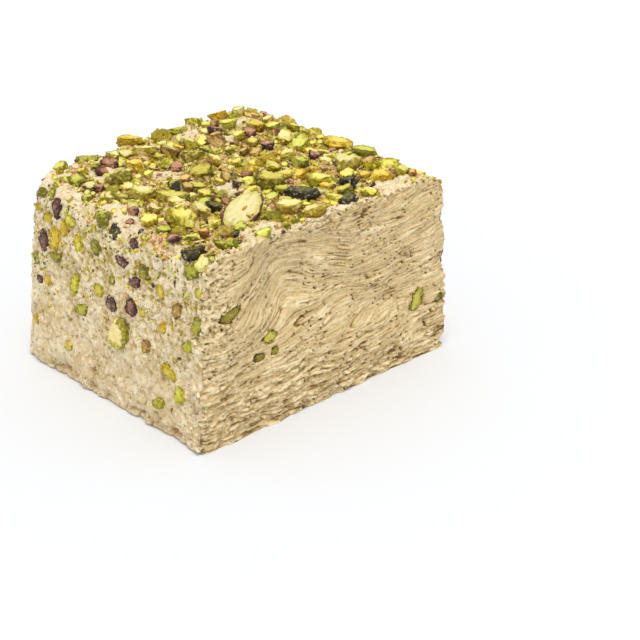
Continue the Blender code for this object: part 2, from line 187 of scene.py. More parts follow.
# Pieces in the walls: place along the wall, height, length, width, turn and colour
LEFT_PIECES = (
    (9, 30, 13.0, 12.0, 30, "fresh"),
    (-29, 53, 10.5, 7.0, 80, "yellow"),
    (-17, 39, 10.5, 6.0, 80, "lime"),
    (-35, 50, 9.5, 6.0, 80, "purple"),
    (-12, 31, 8.5, 5.0, 25, "green"),
    (36, 25, 8.5, 4.5, -10, "yellow"),
    (-28, 64, 8.0, 5.0, 80, "purple"),
    (-23, 58, 8.0, 6.0, 70, "yellow"),
    (42, 18, 8.0, 5.0, 85, "lime"),
    (50, 46, 8.0, 5.0, 80, "green"),
    (4, 39, 7.5, 6.5, 10, "purple"),
    (16, 42, 7.5, 6.0, 80, "purple"),
    (-14, 56, 7.5, 5.0, 80, "lime"),
    (31, 11, 7.5, 4.5, 20, "lime"),
    (-4, 57, 7.0, 6.5, 0, "green"),
    (-19, 62, 7.0, 5.5, -15, "lime"),
    (17, 51, 7.0, 4.5, 20, "purple"),
    (24, 30, 7.0, 6.0, 70, "brown"),
    (-41, 41, 7.0, 6.0, 0, "green"),
    (6, 66, 6.5, 6.0, 45, "dark"),
    (22, 57, 6.5, 6.0, 0, "green"),
    (46, 38, 6.5, 4.5, 15, "lime"),
    (10, 57, 6.5, 4.5, -10, "purple"),
    (40, 49, 6.5, 4.5, 80, "brown"),
    (-28, 46, 6.5, 4.0, 0, "green"),
    (-33, 35, 6.0, 4.5, -15, "yellow"),
    (-32, 68, 5.5, 4.0, 90, "green"),
    (-3, 42, 5.5, 4.5, 80, "lime"),
    (51, 59, 6.0, 5.0, 60, "lime"),
    (31, 53, 5.0, 4.5, 0, "yellow"),
    (-33, 59, 5.0, 4.0, 20, "yellow"),
    (16, 65, 4.5, 4.5, 0, "purple"),
    (-38, 34, 4.5, 4.0, 0, "purple"),
    (-20, 14, 4.5, 3.5, 10, "lime"),
    (33, 40, 4.0, 4.0, 0, "yellow"),
    (22, 42, 4.0, 3.5, 0, "lime"),
    (-41, 17, 4.0, 4.0, 0, "yellow"),
    (5, 48, 4.0, 3.5, 0, "green"),
    (47, 65, 9.0, 7.0, 30, "green"),
)

CUT_PIECES = (
    (-45, 48, 10.5, 4.5, 12, "olive"),
    (45, 24, 10.0, 7.5, 80, "green"),
    (-28, 34, 7.0, 5.0, 0, "green"),
    (-33, 28, 5.5, 3.0, 0, "olive"),
    (-26, 28, 4.0, 3.0, 0, "olive"),
    (56, 21, 4.5, 4.0, 60, "olive"),
    (-57, 59, 5.5, 5.0, 30, "yellow"),
)

# Each side's way out, and the way along it
SIDES = {
    "top": (Vector((0, 0, 1)), Vector((1, 0, 0))),
    "left": (Vector((-1, 0, 0)), Vector((0, -1, 0))),
    "right": (Vector((1, 0, 0)), Vector((0, 1, 0))),
    "back": (Vector((0, 1, 0)), Vector((-1, 0, 0))),
    "cut": (Vector((0, -1, 0)), Vector((1, 0, 0))),
}

# Grids of the two halva meshes, and how far from a flat side of the grid still counts as on it
BODY_STEP = 0.63
CUT_STEP = 0.38
SLAB_DEPTH = 6.5
BODY_INSET = 5.0
NEAR = 0.01
SURFACE_STEP = 5.0

# Folds that bend the layers of the cut face: x, z, half widths left and right, half height, lift
FOLDS = (
    (-22.0, 56.0, 12.0, 26.0, 17.0, 14.5),
    (6.0, 38.0, 16.0, 18.0, 9.0, 4.0),
    (-46.0, 38.0, 10.0, 10.0, 14.0, -5.0),
    (30.0, 30.0, 18.0, 20.0, 8.0, 4.0),
    (14.0, 22.0, 12.0, 12.0, 5.0, -1.5),
)

# Patches of the top where bare halva shows: x, y and half sizes
BARE_PATCHES = np.array([
    (-54, -3, 11, 14),
    (-55, 24, 8, 14),
    (-48, 42, 12, 9),
    (-33, 31, 7, 6),
    (-13, 50, 8, 5),
    (14, 38, 8, 6),
    (20, 27, 7, 5),
    (38, 38, 6, 5),
    (-20, 14, 8, 5),
    (-10, -12, 8, 6),
    (-24, -4, 5, 4),
    (-59, -40, 7, 8),
    (-27, -48, 9, 5),
    (34, -48, 14, 4),
    (0, -55, 62, 6),
], float)

# How far the flat side of a piece stands out of the cut face, and of a moulded side
CUT_PIECE_PROUD = -0.2
SIDE_PIECE_PROUD = 0.5

# How much higher the pieces on the top stand than their solids
TOP_PIECE_RISE = 1.3
TOP_PIECE_THICKER = 1.7
KERNEL_TOP_THICKER = 1.8
TOP_SINK = 0.8

# How deep the halva is pressed in under a piece, and how much painted shade darkens it there
SEAT_DEPTH = {"top": 0.3, "left": 0.5, "right": 0.5, "back": 0.5, "cut": 2.2}
SEAT_SHADE = {"skin": 0.35, "cut": 0.4}

# Room for the discs of all pieces on one side
MOST_DISCS = 20000

# Where scattered pieces keep clear of the big half kernel, as shifts from its place
HERO_DISCS = ((-3, 0), (4, 0), (2, -4))

# How far a scattered piece on the top may lie below the block's height
TOP_DROP = 5.5

# The way a kernel's split side faces, its lobes where it is wide, and the germ's half sizes
SPLIT_WAY = np.array((0.0, 0.0, 1.0))
KERNEL_LOBES = 7
GERM_SIZE = (1.5, 0.5, 0.25)

# From this length a chunk has the finer mesh, and a scattered bit has more chops
FINE_LENGTH = 6.5
BIT_LENGTH = 1.7

# How uneven each sort of nut form is
KERNEL_ROUGH = 0.24
WALL_ROUGH = 0.34
TOP_ROUGH = 0.3
HERO_ROUGH = 0.05

# How much narrower a kernel gets towards its tip
TIP_TAPER = 0.125

# How much wider a piece in a wall is than its solid, how deep its flat side shows against one
# on the top, and what is added so that its edge isn't all seed coat
WALL_SPREAD = 1.06
WALL_DEPTH_SHARE = {"left": 0.3, "right": 0.3, "back": 0.3, "cut": 0.55}
WALL_DEPTH_BASE = 0.03

# Where pieces are scattered: how far from the middle of each side, and from where to where in y
# on the top and in height on the others
SCATTER_REACH = {"top": 56, "left": LENGTH / 2 - 6, "right": LENGTH / 2 - 6, "back": WIDTH / 2 - 14}
TOP_RANGE = (-53.5, 50.5)
SIDE_RANGE = (3, 68)
SCATTER_TRIES = 12
LEAST_COVER = 0.06

# How much of its mean size a piece keeps free of scattered ones, and each side's share of dust
PIECE_ROOM = 0.86
DUST_SHARES = {"top": 0.64, "left": 0.14, "right": 0.11, "back": 0.11}

# Counts of what is scattered
NUGGET_COUNT = 80
CHIP_COUNT = 460
BIT_COUNT = 2200
DUST_COUNT = 2600
FLAKE_COUNT = 200
SIDE_BIT_COUNT = 660
HALVA_CRUMB_COUNT = 1100

# Camera, fitted to the block's edges
CAMERA_PLACE = (-396.0, -468.8, 318.2)
CAMERA_PITCH = 26.60
CAMERA_YAW = 43.32
CAMERA_LENS = 102.99
SENSOR_WIDTH = 36.0
CAMERA_RANGE = (0.01, 10.0)

# Floor and light
FLOOR_REACH = 3.0
WORLD_STRENGTH = 0.83
KEY_WAY = (0.16, 0.20, -1.0)
KEY_STRENGTH = 1.52
KEY_ANGLE = 20


def linear(red, green, blue):
    """A colour picked in 0 to 255 as Blender's linear values."""
    shares = (value / 255 for value in (red, green, blue))
    return tuple(s / 12.92 if s <= 0.04045 else ((s + 0.055) / 1.055) ** 2.4 for s in shares)


# Pistachio colours: middle of the flesh, flesh under the coat, and the coat
PISTACHIO = {
    "hero": ((236, 222, 158), (208, 194, 96), (108, 64, 58)),
    "orange": ((226, 150, 62), (216, 132, 40), (196, 112, 30)),
    "pale": ((244, 233, 156), (216, 204, 86), (170, 152, 48)),
    "fresh": ((238, 224, 150), (186, 176, 60), (136, 128, 26)),
    "lime": ((240, 230, 118), (206, 193, 42), (158, 145, 12)),
    "green": ((212, 206, 90), (166, 159, 34), (114, 108, 14)),
    "olive": ((150, 134, 36), (116, 100, 12), (84, 70, 6)),
    "yellow": ((238, 212, 96), (212, 184, 34), (176, 146, 12)),
    "dark": ((108, 100, 44), (66, 62, 22), (46, 40, 22)),
    "purple": ((186, 136, 100), (110, 70, 58), (74, 42, 40)),
    "brown": ((220, 184, 108), (176, 138, 60), (132, 96, 40)),
    "tan": ((248, 218, 178), (228, 184, 136), (196, 146, 100)),
}

# The colours that each finish of pistachio takes in, and its roughness
FINISHES = {
    "pale": (("pale", "fresh"), 0.50),
    "green": (("lime", "green", "olive"), 0.45),
    "yellow": (("yellow", "brown", "tan"), 0.48),
    "dark": (("dark", "purple"), 0.40),
}
FINISH_OF = {kind: finish for finish, (kinds, _) in FINISHES.items() for kind in kinds}


def mixture(**shares):
    """A list of colours that holds each one as often as its share says."""
    return [kind for kind, share in shares.items() for _ in range(share)]


TOP_KINDS = mixture(pale=7, lime=10, yellow=4, green=7, brown=2, tan=2, purple=2, dark=1)
NUGGET_KINDS = mixture(pale=4, lime=6, green=2, yellow=1, brown=1)
BIT_KINDS = mixture(pale=6, lime=9, yellow=4, green=4, brown=3, tan=6, purple=2)
SIDE_KINDS = mixture(lime=9, yellow=3, green=5, brown=2, purple=1, olive=1)
FLAKE_KINDS = mixture(purple=2, brown=2, tan=1)

HALVA_CREAM = linear(254, 237, 203)
HALVA_LIGHT = linear(240, 217, 170)
HALVA_DEEP = linear(222, 196, 146)
HALVA_TAN = linear(210, 178, 120)
# Painted shade: the dark laid into seats, hollows and thin cracks
HALVA_PAINTED_SHADE = linear(136, 102, 48)
HALVA_SPECK = linear(146, 116, 48)
# Painted shade in the lows of the skin's fine relief
SKIN_PAINTED_SHADE = linear(206, 170, 104)
DUST_COLOUR = linear(184, 160, 18)
GAP_OLIVE = linear(204, 172, 76)
GAP_TAN = linear(242, 200, 156)
# Pale crumbs of the cut, and its painted highlight on raised threads, grain and ridges
CUT_PALE_AND_HIGHLIGHT = linear(255, 236, 190)
CUT_CREAM = linear(235, 207, 151)
FLOOR_COLOUR = linear(228, 230, 233)

# Noise on arrays

GRADIENTS = np.array(
    [(x, y, z) for x in (-1, 0, 1) for y in (-1, 0, 1) for z in (-1, 0, 1)
     if abs(x) + abs(y) + abs(z) == 2], np.float64
)
HASH_STEPS = (np.uint32(73856093), np.uint32(19349663), np.uint32(83492791))


def corner_hash(cell, seed):
    """A well mixed whole number for each cell of the noise lattice."""
    mixed = np.full(cell.shape[:-1], (seed * 2654435761) & 0xFFFFFFFF, np.uint32)
    for axis, step in enumerate(HASH_STEPS):
        mixed ^= cell[..., axis].astype(np.int64).astype(np.uint32) * step
        mixed ^= mixed >> np.uint32(15)
        mixed *= np.uint32(2246822519)
        mixed ^= mixed >> np.uint32(13)
    return mixed


def lattice_noise(points, seed):
    """Gradient noise, about -1 to 1, at points given as an array whose last axis is x, y, z."""
    cell = np.floor(points)
    inside = points - cell
    ease = inside ** 3 * (inside * (inside * 6 - 15) + 10)
    total = np.zeros(points.shape[:-1])
    for corner in np.ndindex(2, 2, 2):
        offset = np.array(corner, np.float64)
        gradient = GRADIENTS[corner_hash(cell + offset, seed) % 12]
        weight = np.where(offset > 0, ease, 1 - ease).prod(axis=-1)
        total += weight * (gradient * (inside - offset)).sum(axis=-1)
    return total


def cell_noise(points, seed):
    """Distance to the nearest edge between cells of a random pattern, and each cell's number."""
    cell = np.floor(points)
    nearest = np.full(len(points), 9.0)
    second = np.full(len(points), 9.0)
    tone = np.zeros(len(points))
    for offset in np.ndindex(3, 3, 3):
        other = cell + np.array(offset) - 1
        spots = [corner_hash(other, seed + i) % 1000 / 1000 for i in range(4)]
        far = np.linalg.norm(other + np.stack(spots[:3], axis=-1) - points, axis=-1)
        closer = far < nearest
        second = np.where(closer, nearest, np.minimum(second, far))
        tone = np.where(closer, spots[3], tone)
        nearest = np.where(closer, far, nearest)
    return second - nearest, tone


def smooth_step(low, high, values):
    """0 below low, 1 above high, and smooth between."""
    share = np.clip((values - low) / (high - low), 0, 1)
    return share * share * (3 - 2 * share)


def vein(values, width):
    """1 where noise crosses zero, 0 farther from there than a width."""
    return 1 - smooth_step(0.0, width, np.abs(values))


# Meshes and objects


def new_piece(name, points, faces, attributes, material, smooth=True):
    """A mesh object in metres, with per-point attributes."""
    mesh = bpy.data.meshes.new(name)
    mesh.vertices.add(len(points))
    mesh.vertices.foreach_set("co", (np.asarray(points) * MM).astype(np.float32).ravel())
    corners = np.concatenate([np.asarray(f, np.int32).ravel() for f in faces])
    sizes = np.concatenate([np.full(len(f), np.asarray(f).shape[1], np.int32) for f in faces])
    mesh.loops.add(len(corners))
    mesh.loops.foreach_set("vertex_index", corners)
    mesh.polygons.add(len(sizes))
    starts = np.concatenate([[0], np.cumsum(sizes)[:-1]]).astype(np.int32)
    mesh.polygons.foreach_set("loop_start", starts)
    mesh.update(calc_edges=True)
    (mesh.shade_smooth if smooth else mesh.shade_flat)()
    add_attributes(mesh, attributes)
    mesh.materials.append(material)
    return linked(name, mesh)


def linked(name, data):
    """An object for some data, in the scene."""
    obj = bpy.data.objects.new(name, data)
    bpy.context.scene.collection.objects.link(obj)
    return obj


def add_attributes(mesh, attributes):
    for name, values in attributes.items():
        kind, field = ("FLOAT", "value") if values.ndim == 1 else ("FLOAT_VECTOR", "vector")
        layer = mesh.attributes.new(name, kind, "POINT")
        layer.data.foreach_set(field, values.astype(np.float32).ravel())


def vertex_normals(points, quads):
    across = points[quads[:, 2]] - points[quads[:, 0]]
    along = points[quads[:, 3]] - points[quads[:, 1]]
    face_normals = np.cross(across, along)
    normals = np.zeros_like(points)
    for corner in range(4):
        np.add.at(normals, quads[:, corner], face_normals)
    return normals / np.maximum(np.linalg.norm(normals, axis=1), 1e-12)[:, None]


# The halva


def box_grid(low, high, steps):
    """Points and quads of a box whose six sides are grids."""
    low = np.array(low, float)
    high = np.array(high, float)
    counts = np.maximum(1, np.round((high - low) / np.array(steps))).astype(int)
    points = []
    quads = []
    base = 0
    for axis in range(3):
        u, v = (axis + 1) % 3, (axis + 2) % 3
        nu, nv = counts[u] + 1, counts[v] + 1
        grid_u, grid_v = np.meshgrid(
            np.linspace(low[u], high[u], nu), np.linspace(low[v], high[v], nv), indexing="ij"
        )
        index = np.arange(nu * nv).reshape(nu, nv)
        for end, flip in ((high[axis], False), (low[axis], True)):
            side = np.empty((nu * nv, 3))
            side[:, axis] = end
            side[:, u] = grid_u.ravel()
            side[:, v] = grid_v.ravel()
            ring = [index[:-1, :-1], index[1:, :-1], index[1:, 1:], index[:-1, 1:]]
            quad = np.stack([r.ravel() for r in ring], axis=1) + base
            quads.append(quad[:, ::-1] if flip else quad)
            points.append(side)
            base += nu * nv
    points = np.concatenate(points)
    quads = np.concatenate(quads)
    _, first, index = np.unique(
        np.round(points * 1000).astype(np.int64), axis=0, return_index=True, return_inverse=True
    )
    return points[first], index.reshape(-1)[quads]


def rounded_edge(reach, z):
    """Rounds the profile of the wall at the top and at the base."""
    for radius, edge, way in ((TOP_EDGE_RADIUS, HEIGHT, 1), (BASE_EDGE_RADIUS, 0.0, -1)):
        across = reach - (CORNER_RADIUS - radius)
        along = way * (z - edge) + radius
        both = (across > 0) & (along > 0)
        far = np.maximum(np.hypot(across, along), 1e-9)
        squeeze = np.where(both, np.maximum(across, along) / far - 1, 0)
        reach = reach + across * squeeze
        z = z + way * along * squeeze
    return reach, z


def moulded(points):
    """Where points of the plain box lie on the moulded block."""
    core_x = WIDTH / 2 - CORNER_RADIUS
    core_y = LENGTH / 2 - CORNER_RADIUS
    core = np.stack([np.clip(points[:, 0], -core_x, core_x), np.minimum(points[:, 1], core_y)], 1)
    out = points[:, :2] - core
    reach, z = rounded_edge(np.abs(out).max(axis=1), points[:, 2])
    reach = reach * (1 - DRAFT / CORNER_RADIUS * z / HEIGHT)
    far = np.maximum((out ** 2).sum(axis=1), 1e-12)
    diagonal = 2 * np.abs(out[:, 0] * out[:, 1]) / far
    reach = reach * (1 - CORNER_EASE / CORNER_RADIUS * diagonal * (z / HEIGHT) ** 3)
    place = core + out / np.sqrt(far)[:, None] * reach[:, None]
    across = 1 - (2 * points[:, 0] / WIDTH) ** 2
    z = z + TOP_CROWN * across * (z / HEIGHT) ** 6
    return np.column_stack([place, z])


def block_grid(front, back, steps):
    """The plain box of the block between two places in y, and where it lies once moulded."""
    plain, quads = box_grid((-WIDTH / 2, front, 0), (WIDTH / 2, back, HEIGHT), steps)
    return plain, quads, moulded(plain)


def relief_depths(plain):
    """How deep the coarse relief is at points of the plain box."""
    depth = np.where(plain[:, 2] > HEIGHT - NEAR, RELIEF_DEPTH["top"], RELIEF_DEPTH["side"])
    return np.where(plain[:, 1] < NEAR - LENGTH / 2, RELIEF_DEPTH["cut"], depth)


def coarse_relief(points, depth):
    """The relief that the solid has too, from the same noise."""
    found = np.empty(len(points))
    shift = Vector((7, 3, 5))
    crumble_shift = Vector((1, 9, 4))
    for i, point in enumerate(points.tolist()):
        place = Vector(point)
        push = depth[i] * noise.noise(place / RELIEF_SCALE)
        push += PEBBLE_DEPTH * noise.noise(place / PEBBLE_SCALE + shift)
        low = 1 - point[2] / CRUMBLE_HEIGHT
        if low > 0:
            push -= CRUMBLE_DEPTH * low * max(0.0, noise.noise(place / 6 + crumble_shift) + 0.1)
        found[i] = push
    return found


def dent_depth(points):
    """How far the dents push points in."""
    depth = np.zeros(len(points))
    for side, along, height, width, most in DENTS:
        out, way = (np.array(axis) for axis in SIDES[side])
        edge = (WIDTH / 2 if out[0] else LENGTH / 2) - CORNER_RADIUS / 2
        away = np.hypot(points @ way - along, points[:, 2] - height) / width
        depth = np.maximum(depth, np.where(points @ out > edge, most * np.exp(-4 * away ** 2), 0))
    return depth


def skin_detail(points):
    """Fine relief of the moulded skin, and what is torn: the crumbly foot and the cut's edges."""
    bent = points + 1.1 * np.column_stack([lattice_noise(points / 3.5, k) for k in (51, 52, 53)])

    def lumpy(size, seed, middle, height, gap, gap_width):
        """Lumps of uneven height, parted by gaps."""
        edge, tone = cell_noise(bent / size, seed)
        return height * (tone - middle) - gap * vein(edge, gap_width)

    lumps = lumpy(6.0, 54, 0.5, 0.75, 0.32, 0.30)
    rough = smooth_step(-0.1, 0.35, lattice_noise(points / 15, 3) + points[:, 2] / 300)
    pebbles = rough * lumpy(2.3, 58, 0.5, 0.55, 0.30, 0.30)
    high = smooth_step(14, 58, points[:, 2])
    shag = (0.16 + 0.40 * high) * (1 - 2.6 * np.abs(lattice_noise(bent / 2.5, 71)))
    grain = 0.14 * lattice_noise(points / 1.3, 4)
    pores = -0.8 * smooth_step(0.46, 0.62, lattice_noise(points / 1.6, 5))
    cracked = smooth_step(0.10, 0.35, lattice_noise(points / 17, 7))
    cracks = -0.5 * cracked * vein(lattice_noise(points / 8.5, 8), 0.05)
    near_cut = smooth_step(-44, -53, points[:, 1]) * smooth_step(62, 26, points[:, 2])
    layers = near_cut * 0.8 * lattice_noise(points / np.array((7.0, 4.5, 1.8)), 72)
    foot = vein(points[:, 2], CRUMBLE_HEIGHT) * lumpy(3.8, 62, 0.60, 2.9, 0.9, 0.25)
    return lumps + pebbles + shag + grain + pores + cracks, foot + layers


def stream(x, z):
    """Coordinates along and across the layers of the cut face."""
    flat = np.column_stack([x, np.zeros_like(x), z])
    x = x + 2.4 * lattice_noise(flat / 16, 11)
    z = z + 2.4 * lattice_noise(flat / 17, 13) + 0.32 * lattice_noise(flat / 6, 14)
    across = z - 0.17 * np.maximum(x - 8, 0) * (z / HEIGHT) - 0.03 * x
    for fold_x, fold_z, half_left, half_right, half_z, lift in FOLDS:
        half_x = np.where(x < fold_x, half_left, half_right)
        away = ((x - fold_x) / half_x) ** 2 + ((z - fold_z) / half_z) ** 2
        across = across - lift * np.exp(-away)
    return x + 0.35 * z, across


def cut_detail(points, along, across):
    """Torn strands, pits and gaps between the layers of the cut face."""
    depth = points[:, 1] / 6

    def strands(length, width, seed):
        return lattice_noise(np.column_stack([along / length, across / width, depth]), seed)

    x, z = points[:, 0], points[:, 2]
    crumbly = smooth_step(-38, -52, x) * smooth_step(16, 32, z)
    crumbly = np.clip(crumbly + 0.8 * lattice_noise(points / 14, 26) - 0.1, 0, 1)
    ledgy = smooth_step(28, 8, z + 0.12 * x + 7 * lattice_noise(points / 13, 37))
    bundles = 0.36 * strands(26, 2.4, 21) + 0.30 * strands(13, 1.2, 22)
    threads = 0.26 * strands(8, 0.75, 23)
    ledges = 0.62 * smooth_step(-0.2, 0.2, strands(8, 1.7, 36))
    ledges += 0.48 * smooth_step(-0.15, 0.15, strands(4.4, 0.9, 38)) - 0.55
    ledges = ledgy * (ledges + 0.40 * lattice_noise(points / 1.2, 39))
    rough = 0.30 * lattice_noise(points / 9, 24) + 0.22 * lattice_noise(points / 1.5, 25)
    flakes = crumbly * (0.70 * strands(3.0, 1.4, 29) + 0.55 * lattice_noise(points / 1.6, 30))
    split = smooth_step(-0.05, 0.25, lattice_noise(points / 11, 35))
    cracks = -1.0 * split * vein(strands(28, 2.8, 34), 0.07)
    pitted = smooth_step(-0.12, 0.2, lattice_noise(points / 8, 33) + 0.3 * crumbly)
    pits = -1.5 * pitted * smooth_step(0.34, 0.48, strands(1.7, 0.8, 27))
    return bundles + threads + ledges + rough + flakes + cracks + pits, crumbly, ledgy


def profile_normal(points):
    """The way out of the moulded skin at points near the cut, in the plane of the cut."""
    half = WIDTH / 2 - DRAFT * points[:, 2] / HEIGHT - TOP_EDGE_RADIUS
    core_x = np.clip(points[:, 0], -half, half)
    core_z = np.clip(points[:, 2], BASE_EDGE_RADIUS, HEIGHT - TOP_EDGE_RADIUS)
    way = np.column_stack([points[:, 0] - core_x, np.zeros(len(points)), points[:, 2] - core_z])
    return way / np.maximum(np.linalg.norm(way, axis=1), 1e-9)[:, None]


def rim_distance(points):
    """How far points of the cut face lie from its outline."""
    half = WIDTH / 2 - DRAFT * points[:, 2] / HEIGHT
    return np.minimum(half - np.abs(points[:, 0]), HEIGHT - points[:, 2])


def fanned(points, quads, flats):
    """Swaps the quads of hidden flat sides for fans of triangles, each round a middle point."""
    count = len(points)
    middles = []
    fans = []
    for flat in flats:
        hidden = flat[quads].all(axis=1)
        starts = quads[hidden].ravel().astype(np.int64)
        ends = np.roll(quads[hidden], -1, axis=1).ravel().astype(np.int64)
        rim = ~np.isin(starts * count + ends, ends * count + starts)
        middle = np.full(rim.sum(), count + len(middles))
        fans.append(np.column_stack([starts[rim], ends[rim], middle]))
        middles.append(points[starts[rim]].mean(axis=0))
        quads = quads[~hidden]
    return middles, [quads, *fans]


def halva_mesh(name, points, quads, flats, attributes, material):
    """A piece closed by fans on its hidden flat sides, without the points that no face uses."""
    middles, faces = fanned(points, quads, flats)
    used = np.zeros(len(points) + len(middles), bool)
    for group in faces:
        used[group.ravel()] = True
    index = np.cumsum(used) - 1
    kept = {}
    for key, values in attributes.items():
        blank = np.zeros((len(middles), *values.shape[1:]))
        kept[key] = np.concatenate([values, blank])[used]
    points = np.vstack([points, middles])[used]
    return new_piece(name, points, [index[group] for group in faces], kept, material)


def seat_depth(points, seats):
    """How far the halva is pressed in under and close round each piece set in it."""
    depth = np.zeros(len(points))
    for seat, length, width, deep in seats:
        axes = np.array(seat.to_3x3())
        local = (points - np.array(seat.translation)) @ axes
        near = (np.abs(local[:, 0]) < length) & (np.abs(local[:, 1]) < length)
        near &= np.abs(local[:, 2]) < 5
        chosen = local[near]
        far = np.hypot(chosen[:, 0] / (length / 2), chosen[:, 1] / (width / 2))
        far += 0.30 * lattice_noise(points[near] / 1.9, 61)
        depth[near] = np.maximum(depth[near], deep * (1 - smooth_step(0.80, 1.06, far)))
    return depth


def skin_push(points, relief):
    """How far the moulded skin stands out of its plain form, and its fine part alone."""
    detail, torn = skin_detail(points)
    push = coarse_relief(points, relief) + detail + torn - dent_depth(points)
    return push - TOP_SINK * nut_cover(points), detail


def foot_fade(points):
    """0 on the base, which stays flat, to 1 above its rounded edge."""
    return np.minimum(1, points[:, 2] / BASE_EDGE_RADIUS)


def halva_body(seats, material):
    """The moulded skin: the top, the left, right and back sides."""
    front = BODY_INSET - LENGTH / 2
    plain, quads, points = block_grid(front, LENGTH / 2, (BODY_STEP,) * 3)
    on_base = plain[:, 2] < NEAR
    on_front = plain[:, 1] < front + NEAR
    normals = vertex_normals(points, quads)
    normals[on_front, 1] = 0
    normals[on_base, 2] = 0
    normals /= np.maximum(np.linalg.norm(normals, axis=1), 1e-9)[:, None]
    push, detail = skin_push(points, relief_depths(plain))
    pressed = seat_depth(points, seats)
    points = points + normals * ((push - pressed) * foot_fade(points))[:, None]
    # Painted shading: darker in the seats and the fine relief's lows, paler on its highs
    attributes = {"painted_shading": SEAT_SHADE["skin"] * pressed - detail, **skin_marks(points)}
    return halva_mesh("halva_body", points, quads, (on_front, on_base), attributes, material)


def skin_marks(points):
    """What the skin's look asks of each point.

    Nut dust clings high up, the skin is calmer low down where the mould pressed it, nuts bury
    most of the top, and its bare patches are painted paler than the walls, a painted highlight.
    """
    z = points[:, 2]
    dust = smooth_step(4, 60, z) * (0.80 + 0.45 * lattice_noise(points / 9, 31))
    covered = nut_cover(points)
    return {
        "dust": np.clip(dust, 0, 1),
        "shaggy": 0.30 + 0.70 * smooth_step(16, 52, z),
        "buried": covered,
        # Painted highlight: the top's bare halva, paler where the light falls most
        "pale": smooth_step(HEIGHT - 12, HEIGHT - 3, z) * (1 - covered),
    }


def patch_cover(x, y):
    """0 on the bare patches of the top, 1 well away from them."""
    patch_x, patch_y, half_x, half_y = BARE_PATCHES.T
    x, y = np.expand_dims(x, -1), np.expand_dims(y, -1)
    away = np.hypot((x - patch_x) / half_x, (y - patch_y) / half_y).min(axis=-1)
    return np.clip((away - 0.6) / 0.8, 0, 1)


def nut_cover(points):
    """How much of the halva lies under nut crumbs: nearly all of the top but its bare patches."""
    high = smooth_step(HEIGHT - 5, HEIGHT - 2, points[:, 2])
    return np.minimum(high, patch_cover(points[:, 0], points[:, 1]))


def halva_cut(seats, material):
    """The face that the knife left, with the skin for a few millimetres behind it."""
    back = SLAB_DEPTH - LENGTH / 2
    steps = (CUT_STEP, 2 * CUT_STEP, CUT_STEP)
    plain, quads, points = block_grid(-LENGTH / 2, back, steps)
    on_cut = plain[:, 1] < NEAR - LENGTH / 2
    on_back = plain[:, 1] > back - NEAR
    on_flat = on_cut | on_back
    behind = points[:, 1] + LENGTH / 2
    rim = np.clip(rim_distance(points), 0, None)
    push, detail = skin_push(points, np.full(len(points), RELIEF_DEPTH["side"]))
    fade = foot_fade(points)
    dip = 0.35 * smooth_step(BODY_INSET - 0.2, BODY_INSET + 0.5, behind)
    skin = (push - dip) * fade * np.where(on_flat, np.exp(-rim / 1.4), 1)
    along, across = stream(points[:, 0], points[:, 2])
    torn, crumbly, ledgy = cut_detail(points, along, across)
    coarse = coarse_relief(points, np.full(len(points), RELIEF_DEPTH["cut"]))
    ragged = -1.3 * np.exp(-rim / 1.6) * smooth_step(-0.1, 0.5, lattice_noise(points / 2.4, 32))
    pressed = seat_depth(points, seats)
    skin -= np.where(on_flat, 0, pressed * fade)
    moved = points + profile_normal(points) * skin[:, None]
    moved[:, 1] -= np.where(on_cut, coarse + torn + ragged - dent_depth(points) - pressed, 0)
    # Painted shading on the cut: darker in seats, torn lows and low ledges, paler on torn ridges
    cut_painted_shading = SEAT_SHADE["cut"] * pressed + 0.08 * ledgy - torn
    skinned = np.where(on_cut, 0, smooth_step(0.1, 0.8, behind))
    marks = skin_marks(moved)
    marks["buried"] = marks["buried"] * skinned
    marks["painted_shading"] = np.where(on_cut, cut_painted_shading, SEAT_SHADE["skin"] * pressed - detail)
    marks["flow"] = np.column_stack([along, across, points[:, 1]])
    marks["crumbly"] = crumbly
    marks["skinned"] = skinned
    flats = (on_back, plain[:, 2] < NEAR)
    return halva_mesh("halva_cut_face", moved, quads, flats, marks, material)


def smooth_surface():
    """The block with its coarse relief alone, which says where the pieces lie."""
    plain, quads, points = block_grid(-LENGTH / 2, LENGTH / 2, (SURFACE_STEP,) * 3)
    normals = vertex_normals(points, quads)
    push = coarse_relief(points, relief_depths(plain)) - dent_depth(points)
    push *= foot_fade(points)
    points = points + normals * push[:, None]
    return BVHTree.FromPolygons(points.tolist(), quads.tolist())


def joined_surface(*objects):
    """The finished halva in millimetres, for what lies on it."""
    points = []
    faces = []
    for obj in objects:
        start = len(points)
        points += [vert.co / MM for vert in obj.data.vertices]
        faces += [[start + i for i in polygon.vertices] for polygon in obj.data.polygons]
    return BVHTree.FromPolygons(points, faces)


# Pistachio pieces


def sphere(subdivisions):
    """Points and triangles of a unit sphere."""
    bm = bmesh.new()
    bmesh.ops.create_icosphere(bm, subdivisions=subdivisions, radius=1.0)
    points = np.array([v.co[:] for v in bm.verts])
    faces = np.array([[v.index for v in f.verts] for f in bm.faces])
    bm.free()
    return points, faces


def chop_planes(rng, count, face_up):
    """Random flat chops: the way each faces, and how far from the middle it lies."""
    planes = []
    if face_up:
        lean = Vector((rng.uniform(-0.3, 0.3), rng.uniform(-0.3, 0.3), 1)).normalized()
        planes.append((np.array(lean), rng.uniform(0.05, 0.5)))
    while len(planes) < count:
        way = Vector((rng.gauss(0, 1), rng.gauss(0, 1), rng.gauss(0, 0.6))).normalized()
        planes.append((np.array(way), rng.uniform(0.45, 0.8)))
    return planes


